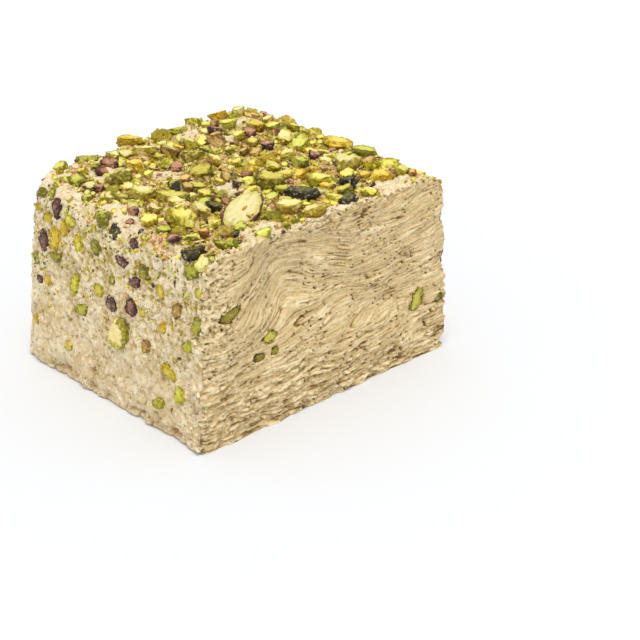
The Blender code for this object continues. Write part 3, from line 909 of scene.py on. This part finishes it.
def nut_form(template, planes, rng, rough):
    """A kernel chopped by planes, in a unit sphere, and how deep in it each point lies.

    Creases are painted as if nearer to the coat, a painted shade, and swellings as if deeper, a
    painted highlight.
    """
    shift = np.array([rng.uniform(0, 50) for _ in range(3)])
    lobes = lattice_noise(template * 1.7 + shift, 41)
    knobs = lattice_noise(template * 3.6 + shift, 43)
    crease = vein(lattice_noise(template * 2.1 + shift, 45), 0.14)
    swell = 1 + rough * (lobes + 0.6 * knobs - 0.5 * crease)
    swell += 0.25 * rough * lattice_noise(template * 8.0 + shift, 44)
    points = template * swell[:, None]
    for way, reach in planes:
        over = np.maximum(points @ way - reach, 0)
        grain = (0.04 + 0.35 * rough) * lattice_noise(points * 3.6 + shift, 42)
        grain -= 0.3 * rough * crease
        points = points - np.outer(np.maximum(over - grain * (over > 0), 0), way)
    depth = 1 - np.linalg.norm(points, axis=1) / swell
    # Painted shade in the creases, painted highlight on the knobs
    depth += min(1.0, rough / KERNEL_ROUGH) * (0.14 * knobs - 0.12 * crease)
    return points, np.clip(depth, 0, 1)


def sized(points, size):
    """Moves and scales a form to fill a box of the given size."""
    low, high = points.min(axis=0), points.max(axis=0)
    return (points - (low + high) / 2) / (high - low) * np.array(size)


def placed(points, frame):
    """Points in millimetres put where a frame says."""
    matrix = np.array(frame)
    return points @ matrix[:3, :3].T + matrix[:3, 3]


class Pile:
    """Many small closed forms that become one mesh."""

    def __init__(self):
        self.forms = []
        self.count = 0

    def add(self, points, faces, depth, kind, rng, grain=1.0):
        colours = np.tile(piece_colours(kind, rng), (len(points), 1))
        marks = np.column_stack([depth, np.full(len(points), grain), colours])
        self.forms.append((points, faces + self.count, marks))
        self.count += len(points)

    def piece(self, name, material, smooth=True):
        points, faces, marks = (np.concatenate(group) for group in zip(*self.forms))
        attributes = {"depth": marks[:, 0], "grain": marks[:, 1]}
        for layer, start in (("flesh", 2), ("rim", 5), ("coat", 8)):
            attributes[layer] = marks[:, start:start + 3]
        return new_piece(name, points, [faces], attributes, material, smooth)


def piece_colours(kind, rng):
    """The three colours of one piece, each a little off its kind's own."""
    light = 1.0 if kind == "hero" else rng.uniform(0.84, 1.14)
    green = 1.0 if kind == "hero" else rng.uniform(0.95, 1.04)
    tint = np.array((light / green, light * green, light))
    return np.concatenate([np.array(linear(*colour)) * tint for colour in PISTACHIO[kind]])


def turned(angle, axis):
    """A turn by degrees round an axis."""
    return Matrix.Rotation(math.radians(angle), 4, axis)


def surface_frame(surface, side, along, height, turn, real=None):
    """Place, and axes with Z out of the surface, for a piece on one side of the block.

    With the finished halva given, the place lies on it and Z is its own normal.
    """
    out, way = SIDES[side]
    if side == "top":
        start = Vector((along, height, 2 * HEIGHT))
    else:
        start = way * along + Vector((0, 0, height)) + out * 2 * WIDTH
    place, normal, _, _ = surface.ray_cast(start, -out)
    if real and place:
        place = real.ray_cast(start, -out)[0]
    if place is None:
        return None
    if not real or side == "top":
        normal = (normal + out).normalized()
    x_axis = (way - normal * way.dot(normal)).normalized()
    y_axis = normal.cross(x_axis)
    axes = Matrix((x_axis, y_axis, normal)).transposed().to_4x4()
    return Matrix.Translation(place) @ axes @ turned(turn, "Z")


def sunk(frame, width, proud_share, crest_share, most):
    """Moves a piece out of the surface, so that the part of it that shows stands proud."""
    thick = width * THICKNESS_SHARE
    proud = min(proud_share * thick, most)
    return frame @ Matrix.Translation((0, 0, proud - crest_share * thick))


def hero_frame(surface):
    """The big half kernel leans on its neighbours, one end up, its face to the near left."""
    place = surface_frame(surface, "top", *HERO_PLACE, 0.0).to_translation()
    place.z += HERO_LIFT
    turn = turned(HERO_TURN, "Z") @ turned(-HERO_TILT, "Y") @ turned(HERO_ROLL, "X")
    return Matrix.Translation(place) @ turn


def kernel_rows():
    """Every named piece as one list of rows: side, along, height, length, width, turn, colour."""
    tables = (("top", TOP_PIECES), ("left", LEFT_PIECES), ("cut", CUT_PIECES))
    return [(side, *row) for side, table in tables for row in table]


def spread_rows(rng):
    """Pieces on the hidden sides, denser towards the top, and crumbs on the top."""
    rows = []
    for side, reach in (("right", LENGTH / 2 - 8), ("back", WIDTH / 2 - 20)):
        places = []
        for _ in range(SPREAD_TRIES):
            along = rng.uniform(-reach, reach)
            height = HEIGHT * (0.14 + 0.80 * math.sqrt(rng.random()))
            if any(math.hypot(along - a, height - h) < HIDDEN_SIDE_GAP for a, h in places):
                continue
            places.append((along, height))
            length = rng.uniform(4.5, 9.0)
            colour = rng.choice(("lime", "green", "yellow", "purple", "brown", "pale"))
            turn = rng.uniform(0, 180)
            width = length * rng.uniform(0.6, 0.9)
            rows.append((side, along, height, length, width, turn, colour))
            if len(places) == HIDDEN_SIDE_PIECES:
                break
    while len(rows) < 2 * HIDDEN_SIDE_PIECES + CRUMB_COUNT:
        along = rng.uniform(-50, 50)
        height = rng.uniform(-50, 46)
        near = min(math.hypot(along - row[0], height - row[1]) - row[2] / 2 for row in TOP_PIECES)
        if near < 3:
            continue
        length = rng.uniform(4.0, 6.0)
        colour = rng.choice(("lime", "pale", "brown", "purple"))
        rows.append(("top", along, height, length, length * 0.8, rng.uniform(0, 180), colour))
    return rows


def pose_rows(surface, rows):
    """Each named piece's row with its frame, sunk as in the source."""
    posed = []
    for row in rows:
        side, along, height, length, width, turn, _ = row
        frame = surface_frame(surface, side, along, height, turn)
        if frame is None:
            continue
        most = TOP_PROUD_MOST if side == "top" else SIDE_PROUD_MOST
        if length < NODE_LENGTH:
            place = sunk(frame, width, PROUD_SHARE[side], 0.5, most)
        else:
            place = sunk(frame, width, KERNEL_PROUD, KERNEL_FLAT, most)
        posed.append((row, frame, place))
    return posed


def lobed(points, depth, rng, count):
    """Draws a form's outline in at grooves that run from its pale middle to its edge."""
    angle = np.arctan2(points[:, 1], points[:, 0])
    reach = np.hypot(points[:, 0], points[:, 1])
    valley = np.maximum(0, np.cos(count / 2 * (angle + rng.uniform(0, 3)))) ** 12
    valley += np.maximum(0, np.cos(count / 2 * angle + 1.9)) ** 12
    inward = 1 - 0.16 * valley * smooth_step(0.4, 0.9, reach)
    sunken = 0.16 * valley * smooth_step(0.15, 0.7, reach) * (points[:, 2] > 0)
    points = points * np.column_stack([inward, inward, np.ones(len(points))])
    points[:, 2] -= sunken
    depth = np.where(points[:, 2] > 0, depth + 0.30 * (1 - smooth_step(0.1, 0.6, reach)), depth)
    return points, np.clip(depth - 0.25 * valley, 0, 1)


def tapered(points, length, width):
    """A form from a unit sphere at its real size, drawn in towards its tip."""
    tip = 1 - TIP_TAPER * points[:, 0]
    thick = width * THICKNESS_SHARE
    return points * np.column_stack([np.full(len(tip), length), width * tip, thick * tip]) / 2


def kernel(name, row, frame, material, rng):
    """A kernel split along its seam: thicker and lobed on the top, and plain in a wall."""
    side, _, _, length, width, _, kind = row
    on_top = side == "top"
    chops = chop_planes(rng, 2, False)
    template, faces = sphere(4)
    planes = [(SPLIT_WAY, 2 * KERNEL_FLAT), *(chops if on_top else chops[:1])]
    points, depth = nut_form(template, planes, rng, KERNEL_ROUGH)
    if on_top and width > 0.75 * length:
        points, depth = lobed(points, depth, rng, KERNEL_LOBES)
    points = tapered(points, length, width)
    if on_top:
        points[:, 2] *= np.where(points[:, 2] > 0, KERNEL_TOP_THICKER, 1)
    pile = Pile()
    pile.add(placed(points, frame), faces, depth, kind, rng)
    return pile.piece(name, material)


def hero_kernel(surface, material, rng):
    """The big half kernel: its pale face, with the germ's orange mark and cracks at one tip."""
    template, faces = sphere(5)
    frame = hero_frame(surface)
    length, width = HERO_SIZE
    flat = 2 * KERNEL_FLAT
    points, depth = nut_form(template, [(SPLIT_WAY, flat)], rng, HERO_ROUGH)
    on_face = points[:, 2] > flat - 0.08
    bare_edge = 0.14 * smooth_step(-0.3, 0.4, points[:, 1])
    depth = np.where(on_face, depth + bare_edge, depth)
    for turn in HERO_CRACKS:
        way = np.array((math.cos(turn), math.sin(turn)))
        across = np.abs(points[:, 0] * way[1] - points[:, 1] * way[0])
        along = points[:, :2] @ way
        groove = np.exp(-((across / 0.035) ** 2)) * smooth_step(0.25, 0.6, along)
        points[:, 2] -= np.where(on_face, 0.16 * groove, 0)
    pile = Pile()
    pile.add(placed(tapered(points, length, width), frame), faces, depth, "hero", rng, 0.25)
    mark, mark_faces = sphere(3)
    height = width * THICKNESS_SHARE * KERNEL_FLAT
    mark = mark * np.array(GERM_SIZE) + np.array((0.6, 0.1, height - 0.05))
    pile.add(placed(mark, frame), mark_faces, np.full(len(mark), 0.2), "orange", rng)
    return pile.piece("pistachio_kernel_hero", material)


def wall_form(template, row, frame, rng):
    """A piece in a wall: flat where the mould or the knife was, its outline chopped at random."""
    side, _, _, length, width, _, _ = row
    cut = side == "cut"
    planes = [(SPLIT_WAY, 0.1 if cut else rng.uniform(0.45, 0.7))]
    for _ in range(3):
        turn = rng.uniform(0, math.tau)
        planes.append((np.array((math.cos(turn), math.sin(turn), 0.1)), rng.uniform(0.6, 0.9)))
    points, depth = nut_form(template, planes, rng, WALL_ROUGH)
    thick = width * THICKNESS_SHARE
    points = sized(points, (WALL_SPREAD * length, WALL_SPREAD * width, thick))
    proud = CUT_PIECE_PROUD if cut else SIDE_PIECE_PROUD
    place = frame @ Matrix.Translation((0, 0, proud - thick / 2))
    return placed(points, place), depth * WALL_DEPTH_SHARE[side] + WALL_DEPTH_BASE


def top_form(template, row, place, rng):
    """A chunk on the top, thicker and higher than its solid."""
    _, _, _, length, width, _, _ = row
    planes = chop_planes(rng, rng.choice((2, 3, 4)), rng.random() < 0.8)
    points, depth = nut_form(template, planes, rng, TOP_ROUGH)
    thick = width * THICKNESS_SHARE
    rise = TOP_PIECE_RISE - thick * (TOP_PIECE_THICKER - 1) / 2
    place = Matrix.Translation((0, 0, rise)) @ place
    return placed(sized(points, (length, width, thick * TOP_PIECE_THICKER)), place), depth


def named_pieces(posed, surface, materials):
    """The kernels, each for its node, and the chunks that the block's solid holds too."""
    rng = random.Random(12)
    shapes = {level: sphere(level) for level in (3, 4)}
    piles = {}
    count = 1
    for row, frame, place in posed:
        side, _, _, length, _, _, kind = row
        finish = FINISH_OF[kind]
        if length >= NODE_LENGTH:
            node = f"kernel_{count:02d}"
            piece = kernel(f"pistachio_{node}", row, place, materials[finish], rng)
            hand_over(piece, f"pistachio_{finish}", node)
            count += 1
            continue
        template, faces = shapes[4 if length >= FINE_LENGTH else 3]
        if side == "top":
            points, depth = top_form(template, row, place, rng)
        else:
            points, depth = wall_form(template, row, frame, rng)
        pile = piles.setdefault(finish, Pile())
        pile.add(points, faces, depth, kind, rng)
    for finish, pile in piles.items():
        piece = pile.piece(f"chunks_{finish}", materials[finish])
        hand_over(piece, f"pistachio_{finish}", "halva_block")
    hero = hero_kernel(surface, materials["pale"], rng)
    hand_over(hero, "pistachio_pale", "kernel_hero")


# Scattering


def side_cover(side, along, height):
    """How densely crumbs cling to a side: in clusters, most of them high up."""
    cluster = noise.noise(Vector((along / 6, height / 6, len(side)))) + 0.5 * height / HEIGHT
    high = 0.04 + 0.96 * max(0.0, (height - 14) / 56) ** 1.5
    return high * max(0.05, min(1.0, 2.2 * cluster))


def scatter(rng, side, count, low, high, taken, gap):
    """Places for pieces of a range of lengths, clear of those that are taken already."""
    rows = []
    for _ in range(count * SCATTER_TRIES):
        if len(rows) == count:
            break
        along = rng.uniform(-SCATTER_REACH[side], SCATTER_REACH[side])
        if side == "top":
            height = rng.uniform(*TOP_RANGE)
            cover = max(LEAST_COVER, patch_cover(along, height))
        else:
            height = rng.uniform(*SIDE_RANGE)
            cover = side_cover(side, along, height)
        if rng.random() > cover:
            continue
        length = low + (high - low) * rng.random() ** 1.6
        if not taken.free(side, along, height, length * gap):
            continue
        taken.add(side, along, height, length * gap)
        rows.append((side, along, height, length))
    return rows


class Taken:
    """The discs of each side that pieces already cover."""

    def __init__(self):
        self.discs = {side: np.zeros((MOST_DISCS, 3)) for side in SIDES}
        self.count = dict.fromkeys(SIDES, 0)

    def add(self, side, along, height, size):
        self.discs[side][self.count[side]] = (along, height, size / 2)
        self.count[side] += 1

    def free(self, side, along, height, size):
        discs = self.discs[side][: self.count[side]]
        away = np.hypot(discs[:, 0] - along, discs[:, 1] - height)
        return not (away < discs[:, 2] + size / 2).any()


def tilted(frame, rng, most, lift):
    """A frame turned at random, leaning up to an angle in degrees, and moved out."""
    turn = Matrix.Rotation(rng.uniform(0, math.tau), 4, "Z")
    lean = turned(rng.uniform(-most, most), "X")
    roll = turned(rng.uniform(-most, most), "Y")
    return frame @ Matrix.Translation((0, 0, lift)) @ turn @ lean @ roll


class Forms:
    """A stock of chopped forms of one kind, each in a unit box."""

    def __init__(self, rng, level, count, chops, face_up, rough):
        template, self.faces = sphere(level)
        self.stock = []
        for _ in range(count):
            planes = chop_planes(rng, rng.choice(chops), rng.random() < face_up)
            points, depth = nut_form(template, planes, rng, rough)
            self.stock.append((sized(points, (1, 1, 1)), depth))

    def pick(self, rng, size):
        points, depth = rng.choice(self.stock)
        return points * np.array(size), depth


def edge_fade(side, along, height):
    """0 where the top rounds over into a side, so that nothing stands in the air there."""
    if side != "top":
        return 1.0
    return max(0.0, min(1.0, (53 - abs(along)) / 6, (47 - height) / 6, (height + 54) / 5))


def scattered_pieces(surface, real, taken):
    """Chips, bits and dust in piles of one finish, and flakes of seed coat."""
    rng = random.Random(7)
    piles = {}

    def drop(label, forms, row, kind, thick, most, lift):
        side, along, height, length = row
        frame = surface_frame(surface, side, along, height, 0, real)
        if frame is None or (side == "top" and frame.translation.z < HEIGHT - TOP_DROP):
            return
        points, depth = forms.pick(rng, (length, length * rng.uniform(0.6, 0.95), length * thick))
        place = tilted(frame, rng, most, lift * edge_fade(side, along, height))
        pile = piles.setdefault((label, FINISH_OF[kind]), Pile())
        pile.add(placed(points, place), forms.faces, depth, kind, rng)

    nuggets = Forms(rng, 3, 60, (3, 4, 5), 0.85, 0.34)
    for row in scatter(rng, "top", NUGGET_COUNT, 5.0, 8.5, taken, 0.60):
        kind = rng.choice(NUGGET_KINDS)
        drop("chips", nuggets, row, kind, 0.6, 18, row[3] * rng.uniform(0.04, 0.18))
    chips = Forms(rng, 3, 110, (3, 4, 5), 0.7, 0.40)
    for row in scatter(rng, "top", CHIP_COUNT, 2.6, 5.4, taken, 0.62):
        kind = rng.choice(TOP_KINDS)
        drop("chips", chips, row, kind, 0.65, 30, row[3] * rng.uniform(-0.08, 0.10))
    bits = Forms(rng, 2, 90, (4, 5, 6), 0.3, 0.5)
    small = Forms(rng, 1, 40, (1, 2), 0.3, 0.5)
    for row in scatter(rng, "top", BIT_COUNT, 0.9, 2.8, taken, 0.4):
        kind = rng.choice(BIT_KINDS)
        forms = bits if row[3] > BIT_LENGTH else small
        drop("bits", forms, row, kind, 0.7, 60, row[3] * rng.uniform(-0.15, 0.1))
    for side in ("left", "right", "back"):
        for row in scatter(rng, side, SIDE_BIT_COUNT // 3, 0.9, 3.0, taken, 0.6):
            drop("bits", bits, row, rng.choice(SIDE_KINDS), 0.6, 25, -0.12 * row[3])
    dust = Forms(rng, 1, 12, (1,), 0.0, 0.4)
    for side, share in DUST_SHARES.items():
        for row in scatter(rng, side, int(DUST_COUNT * share), 0.5, 1.2, off_hero(0.8), 0.1):
            lift = rng.uniform(0, 0.4) if side == "top" else 0.0
            drop("dust", dust, row, rng.choice(SIDE_KINDS), 0.7, 60, lift)
    flakes = Forms(rng, 2, 30, (1, 2), 0.0, 0.5)
    for row in scatter(rng, "top", FLAKE_COUNT, 1.8, 4.4, off_hero(1.1), 0.3):
        kind = rng.choice(FLAKE_KINDS)
        drop("flakes", flakes, row, kind, 0.14, 34, rng.uniform(0.2, 1.0))
    return piles


def off_hero(share):
    """Places where only a disc round the big half kernel is taken."""
    taken = Taken()
    taken.add("top", *HERO_PLACE, share * HERO_SIZE[0])
    return taken


def crumb_spot(rng, number):
    """Where one halva crumb lies: along the cut's edges, at the foot or on the top."""
    spot = number % 20
    if spot < 3:
        return "top", rng.uniform(-54, 54), -53.0 + abs(rng.gauss(0, 3.2))
    if spot == 3:
        return "left", 52.8 - abs(rng.gauss(0, 4.0)), rng.uniform(1, 66)
    if spot < 6:
        side = rng.choice(("left", "left", "right", "back", "cut"))
        return side, rng.uniform(-52, 52), 1.0 + abs(rng.gauss(0, 3.0))
    return "top", rng.uniform(-54, 54), rng.uniform(-50, 48)


def halva_crumbs(surface, real, material):
    """Loose halva crumbs along the torn edges, the foot and the bare patches."""
    rng = random.Random(23)
    large = Forms(rng, 2, 60, (3, 4), 0.0, 0.7)
    small = Forms(rng, 1, 30, (1, 2), 0.0, 0.7)
    pile = Pile()
    for number in range(HALVA_CRUMB_COUNT):
        side, along, height = crumb_spot(rng, number)
        length = 0.6 + 1.9 * rng.random() ** 2.4
        frame = surface_frame(surface, side, along, height, 0, real)
        if frame is None:
            continue
        forms = large if length > 1.3 else small
        points, depth = forms.pick(rng, (length, length * rng.uniform(0.4, 0.9), length * 0.5))
        place = tilted(frame, rng, 50, -0.05 * length)
        pile.add(placed(points, place), forms.faces, depth, "tan", rng)
    return pile.piece("halva_crumbs", material, smooth=False)


# Materials


class Tree:
    """A material's nodes, added and joined one after another."""

    def __init__(self, name, roughness, specular=0.2):
        self.material = bpy.data.materials.new(name)
        self.material.use_nodes = True
        self.nodes = self.material.node_tree.nodes
        self.links = self.material.node_tree.links
        self.shader = self.nodes["Principled BSDF"]
        self.put(self.shader, {"Roughness": roughness, "Specular IOR Level": specular})

    def put(self, node, inputs):
        """Links a node's inputs to sockets, or sets them to plain values."""
        for key, value in inputs.items():
            if isinstance(value, bpy.types.NodeSocket):
                self.links.new(value, node.inputs[key])
            elif value is not None:
                full = (*value, 1.0) if node.inputs[key].type == "RGBA" else value
                node.inputs[key].default_value = full

    def add(self, kind, inputs, **settings):
        node = self.nodes.new("ShaderNode" + kind)
        for key, value in settings.items():
            setattr(node, key, value)
        self.put(node, inputs)
        return node.outputs

    def attribute(self, name, output="Fac"):
        return self.add("Attribute", {}, attribute_name=name)[output]

    def place(self):
        return self.add("TexCoord", {})["Object"]

    def noise(self, vector, scale, detail=3.0, rough=0.55):
        inputs = {"Vector": vector, "Scale": scale, "Detail": detail, "Roughness": rough}
        return self.add("TexNoise", inputs)["Fac"]

    def stretched(self, vector, scales, detail, rough=0.55):
        """Noise drawn out along the axes."""
        mapped = self.add("Mapping", {"Vector": vector, "Scale": scales})["Vector"]
        return self.noise(mapped, 1.0, detail, rough)

    def bent(self, vector, amount, scale):
        """A vector pushed about by noise."""
        colour = self.add("TexNoise", {"Vector": vector, "Scale": scale})["Color"]
        push = self.add("VectorMath", {0: colour, "Scale": amount}, operation="SCALE")[0]
        return self.add("VectorMath", {0: vector, 1: push}, operation="ADD")[0]

    def ramp(self, value, low, high):
        """0 below low, 1 above high, and smooth between."""
        inputs = {"Value": value, "From Min": low, "From Max": high}
        return self.add("MapRange", inputs, interpolation_type="SMOOTHSTEP")["Result"]

    def math(self, operation, first, second=0.0):
        return self.add("Math", {0: first, 1: second}, operation=operation)[0]

    def times(self, first, second):
        return self.math("MULTIPLY", first, second)

    def mix(self, share, first, second):
        return self.add("Mix", {0: share, 6: first, 7: second}, data_type="RGBA")[2]

    def over(self, colour, layer, mask, share):
        """A colour with a share of another laid over it where a mask says."""
        return self.mix(self.times(mask, share), colour, layer)

    def bump(self, height, distance, strength, normal=None):
        inputs = {"Height": height, "Distance": distance, "Strength": strength, "Normal": normal}
        return self.add("Bump", inputs)["Normal"]

    def finish(self, colour, normal=None):
        self.put(self.shader, {"Base Color": colour, "Normal": normal})
        return self.material


def skin_look(tree):
    """Colour and relief of moulded halva: painted cream highlight on ridges, painted tan shade
    between, olive specks, nut dust.
    """
    place = tree.place()
    mottle = tree.ramp(tree.noise(place, 110, 4.0), 0.34, 0.68)
    colour = tree.mix(mottle, HALVA_DEEP, HALVA_LIGHT)
    domains = {"Scale": 190, "Vector": tree.bent(place, 0.0045, 260)}
    tone = tree.add("TexVoronoi", domains, feature="SMOOTH_F1")["Color"]
    colour = tree.over(colour, HALVA_CREAM, tree.ramp(tone, 0.25, 0.75), 0.5)
    painted_shading = tree.attribute("painted_shading")
    shag = tree.noise(place, 560, 5.0, 0.62)
    # The relief's highs are painted cream, a painted highlight, and its lows tan, a painted shade
    high = tree.math("SUBTRACT", shag, tree.times(painted_shading, 0.12))
    low = tree.times(tree.ramp(high, 0.46, 0.36), tree.attribute("shaggy"))
    colour = tree.over(colour, SKIN_PAINTED_SHADE, low, 0.75)
    colour = tree.over(colour, HALVA_CREAM, tree.ramp(high, 0.48, 0.60), 0.8)
    # Painted shade in the seats and in the lows of the relief
    colour = tree.over(colour, HALVA_PAINTED_SHADE, tree.ramp(painted_shading, 0.45, 1.2), 0.75)
    specks = tree.ramp(tree.noise(place, 760, 2.0), 0.62, 0.67)
    colour = tree.over(colour, HALVA_SPECK, specks, 0.6)
    dust = tree.ramp(tree.noise(place, 330, 4.0), 0.48, 0.60)
    dust = tree.times(dust, tree.ramp(high, 0.54, 0.44))
    dust = tree.times(dust, tree.attribute("dust"))
    colour = tree.over(colour, DUST_COLOUR, dust, 0.95)
    # Painted highlight on the top's bare halva
    colour = tree.over(colour, HALVA_CREAM, tree.attribute("pale"), 0.55)
    gap = tree.mix(tree.ramp(tree.noise(place, 450), 0.42, 0.58), GAP_OLIVE, GAP_TAN)
    return tree.over(colour, gap, tree.attribute("buried"), 0.70), shag


def halva_skin_material():
    """The moulded halva of the body."""
    tree = Tree("halva_skin", 0.65)
    colour, shag = skin_look(tree)
    normal = tree.bump(tree.noise(tree.place(), 1300), 0.0004, 0.9)
    return tree.finish(colour, tree.bump(shag, 0.0013, 0.9, normal))


def cut_look(tree, strands, threads, grain):
    """Colour of torn halva: pale and tan strands along the layers, crumbly patches, painted
    highlight on raised threads and grain, painted shade between threads and in thin cracks.
    """
    colour = tree.mix(tree.ramp(strands, 0.36, 0.64), HALVA_TAN, CUT_CREAM)
    # Painted highlight on the raised threads, painted shade between them
    colour = tree.over(colour, CUT_PALE_AND_HIGHLIGHT, tree.ramp(threads, 0.50, 0.64), 0.75)
    colour = tree.over(colour, HALVA_SPECK, tree.ramp(threads, 0.45, 0.34), 0.5)
    # Painted highlight on the raised grain
    colour = tree.over(colour, CUT_PALE_AND_HIGHLIGHT, tree.ramp(grain, 0.5, 0.64), 0.4)
    crumbs = tree.noise(tree.place(), 640)
    crumbly = tree.times(tree.attribute("crumbly"), 0.8)
    colour = tree.over(colour, CUT_PALE_AND_HIGHLIGHT, tree.ramp(crumbs, 0.50, 0.62), crumbly)
    colour = tree.over(colour, HALVA_SPECK, tree.ramp(crumbs, 0.46, 0.36), crumbly)
    # Thin cracks painted as dark lines along the layers: painted shade
    lines = tree.stretched(tree.attribute("flow", "Vector"), (0.03, 0.42, 0.2), 1.0)
    lines = tree.math("ABSOLUTE", tree.math("SUBTRACT", lines, 0.5))
    patches = tree.ramp(tree.noise(tree.place(), 110, 2.0), 0.48, 0.60)
    painted_crack_shade = tree.times(tree.ramp(lines, 0.012, 0.004), patches)
    colour = tree.over(colour, HALVA_PAINTED_SHADE, painted_crack_shade, 0.45)
    painted_shading = tree.attribute("painted_shading")
    # Painted highlight on the torn ridges, and painted shade in the seats and hollows
    colour = tree.over(colour, CUT_PALE_AND_HIGHLIGHT, tree.ramp(painted_shading, -0.06, -0.42), 0.85)
    return tree.over(colour, HALVA_PAINTED_SHADE, tree.ramp(painted_shading, 0.22, 0.95), 0.90)


def halva_cut_material():
    """Torn halva on the cut face, and the skin's look on the narrow bands round it."""
    tree = Tree("halva_cut", 0.62)
    flow = tree.attribute("flow", "Vector")
    strands = tree.stretched(flow, (0.07, 0.9, 0.5), 4.0, 0.6)
    threads = tree.stretched(flow, (0.13, 2.1, 0.8), 3.0, 0.6)
    grain = tree.noise(tree.place(), 900, 4.0)
    skinned = tree.attribute("skinned")
    skin, shag = skin_look(tree)
    colour = tree.mix(skinned, cut_look(tree, strands, threads, grain), skin)
    torn = tree.math("SUBTRACT", 1.0, skinned)
    normal = tree.bump(grain, 0.0005, 0.9)
    normal = tree.bump(tree.times(threads, torn), 0.0006, 0.9, normal)
    normal = tree.bump(tree.times(strands, torn), 0.0010, 0.8, normal)
    normal = tree.bump(tree.times(shag, skinned), 0.0013, 0.9, normal)
    return tree.finish(colour, normal)


def pistachio_material(name, roughness):
    """Seed coat outside, green flesh under it and paler flesh in the middle."""
    tree = Tree(name, roughness, 0.28)
    place = tree.place()
    flesh, rim, coat = (tree.attribute(layer, "Vector") for layer in ("flesh", "rim", "coat"))
    crumbs = tree.noise(place, 820, 4.0)
    patchy = tree.math("SUBTRACT", tree.noise(place, 420, 4.0), 0.5)
    uneven = tree.math("ADD", patchy, tree.math("SUBTRACT", crumbs, 0.5))
    uneven = tree.times(uneven, tree.times(tree.attribute("grain"), 0.30))
    depth = tree.math("ADD", tree.attribute("depth"), uneven)
    colour = tree.mix(tree.ramp(depth, 0.08, 0.32), rim, flesh)
    colour = tree.mix(tree.ramp(depth, 0.01, 0.10), coat, colour)
    colour = tree.over(colour, HALVA_CREAM, tree.ramp(crumbs, 0.56, 0.68), 0.35)
    normal = tree.bump(crumbs, 0.0005, 0.9)
    return tree.finish(colour, tree.bump(tree.noise(place, 360, 4.0), 0.0014, 0.8, normal))


def crumb_material():
    """Loose halva, paler than the block."""
    tree = Tree("halva_crumb", 0.65, 0.25)
    place = tree.place()
    colour = tree.mix(tree.ramp(tree.noise(place, 500), 0.4, 0.65), HALVA_LIGHT, HALVA_CREAM)
    return tree.finish(colour, tree.bump(tree.noise(place, 1300), 0.0003, 0.8))


# Stage, light and camera


def stage():
    """A plain pale floor."""
    mesh = bpy.data.meshes.new("floor")
    ways = ((-1, -1), (1, -1), (1, 1), (-1, 1))
    corners = [(x * FLOOR_REACH, y * FLOOR_REACH, 0) for x, y in ways]
    mesh.from_pydata(corners, [], [(0, 1, 2, 3)])
    mesh.materials.append(Tree("floor", 0.9, 0.1).finish(FLOOR_COLOUR))
    linked("floor", mesh)


def light():
    """A white surround, and one wide soft sun that falls evenly on the block and the floor."""
    world = bpy.data.worlds.new("studio")
    world.use_nodes = True
    background = world.node_tree.nodes["Background"]
    background.inputs["Color"].default_value = (1.0, 1.0, 1.0, 1.0)
    background.inputs["Strength"].default_value = WORLD_STRENGTH
    bpy.context.scene.world = world
    data = bpy.data.lights.new("key", "SUN")
    data.energy = KEY_STRENGTH
    data.angle = math.radians(KEY_ANGLE)
    linked("key", data).rotation_euler = Vector(KEY_WAY).to_track_quat("-Z", "Y").to_euler()


def camera():
    data = bpy.data.cameras.new("camera")
    data.sensor_width = SENSOR_WIDTH
    data.lens = CAMERA_LENS
    data.clip_start, data.clip_end = CAMERA_RANGE
    obj = linked("camera", data)
    obj.location = Vector(CAMERA_PLACE) * MM
    obj.rotation_euler = (math.radians(90 - CAMERA_PITCH), 0, math.radians(-CAMERA_YAW))
    bpy.context.scene.camera = obj


def hand_over(piece, slot, *nodes):
    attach(piece, "root")
    if nodes:
        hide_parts(*nodes)


def main():
    camera()
    stage()
    light()
    bpy.context.scene.view_settings.view_transform = "Standard"
    materials = {
        finish: pistachio_material(f"pistachio_{finish}", roughness)
        for finish, (_, roughness) in FINISHES.items()
    }
    surface = smooth_surface()
    posed = pose_rows(surface, kernel_rows() + spread_rows(random.Random(41)))
    seats = []
    taken = Taken()
    for (side, along, height, length, width, _, _), frame, _ in posed:
        seats.append((frame, length, width, SEAT_DEPTH[side]))
        taken.add(side, along, height, (length + width) / 2 * PIECE_ROOM)
    for shift_x, shift_y in HERO_DISCS:
        taken.add("top", HERO_PLACE[0] + shift_x, HERO_PLACE[1] + shift_y, HERO_SIZE[1])
    body = halva_body(seats, halva_skin_material())
    cut = halva_cut(seats, halva_cut_material())
    real = joined_surface(body, cut)
    hand_over(body, "halva", "halva_block")
    hand_over(cut, "halva", "halva_block")
    hand_over(halva_crumbs(surface, real, crumb_material()), "halva")
    named_pieces(posed, surface, materials)
    for (label, finish), pile in scattered_pieces(surface, real, taken).items():
        piece = pile.piece(f"{label}_{finish}", materials[finish], smooth=False)
        hand_over(piece, f"pistachio_{finish}")


main()

bpy.context.view_layer.update()
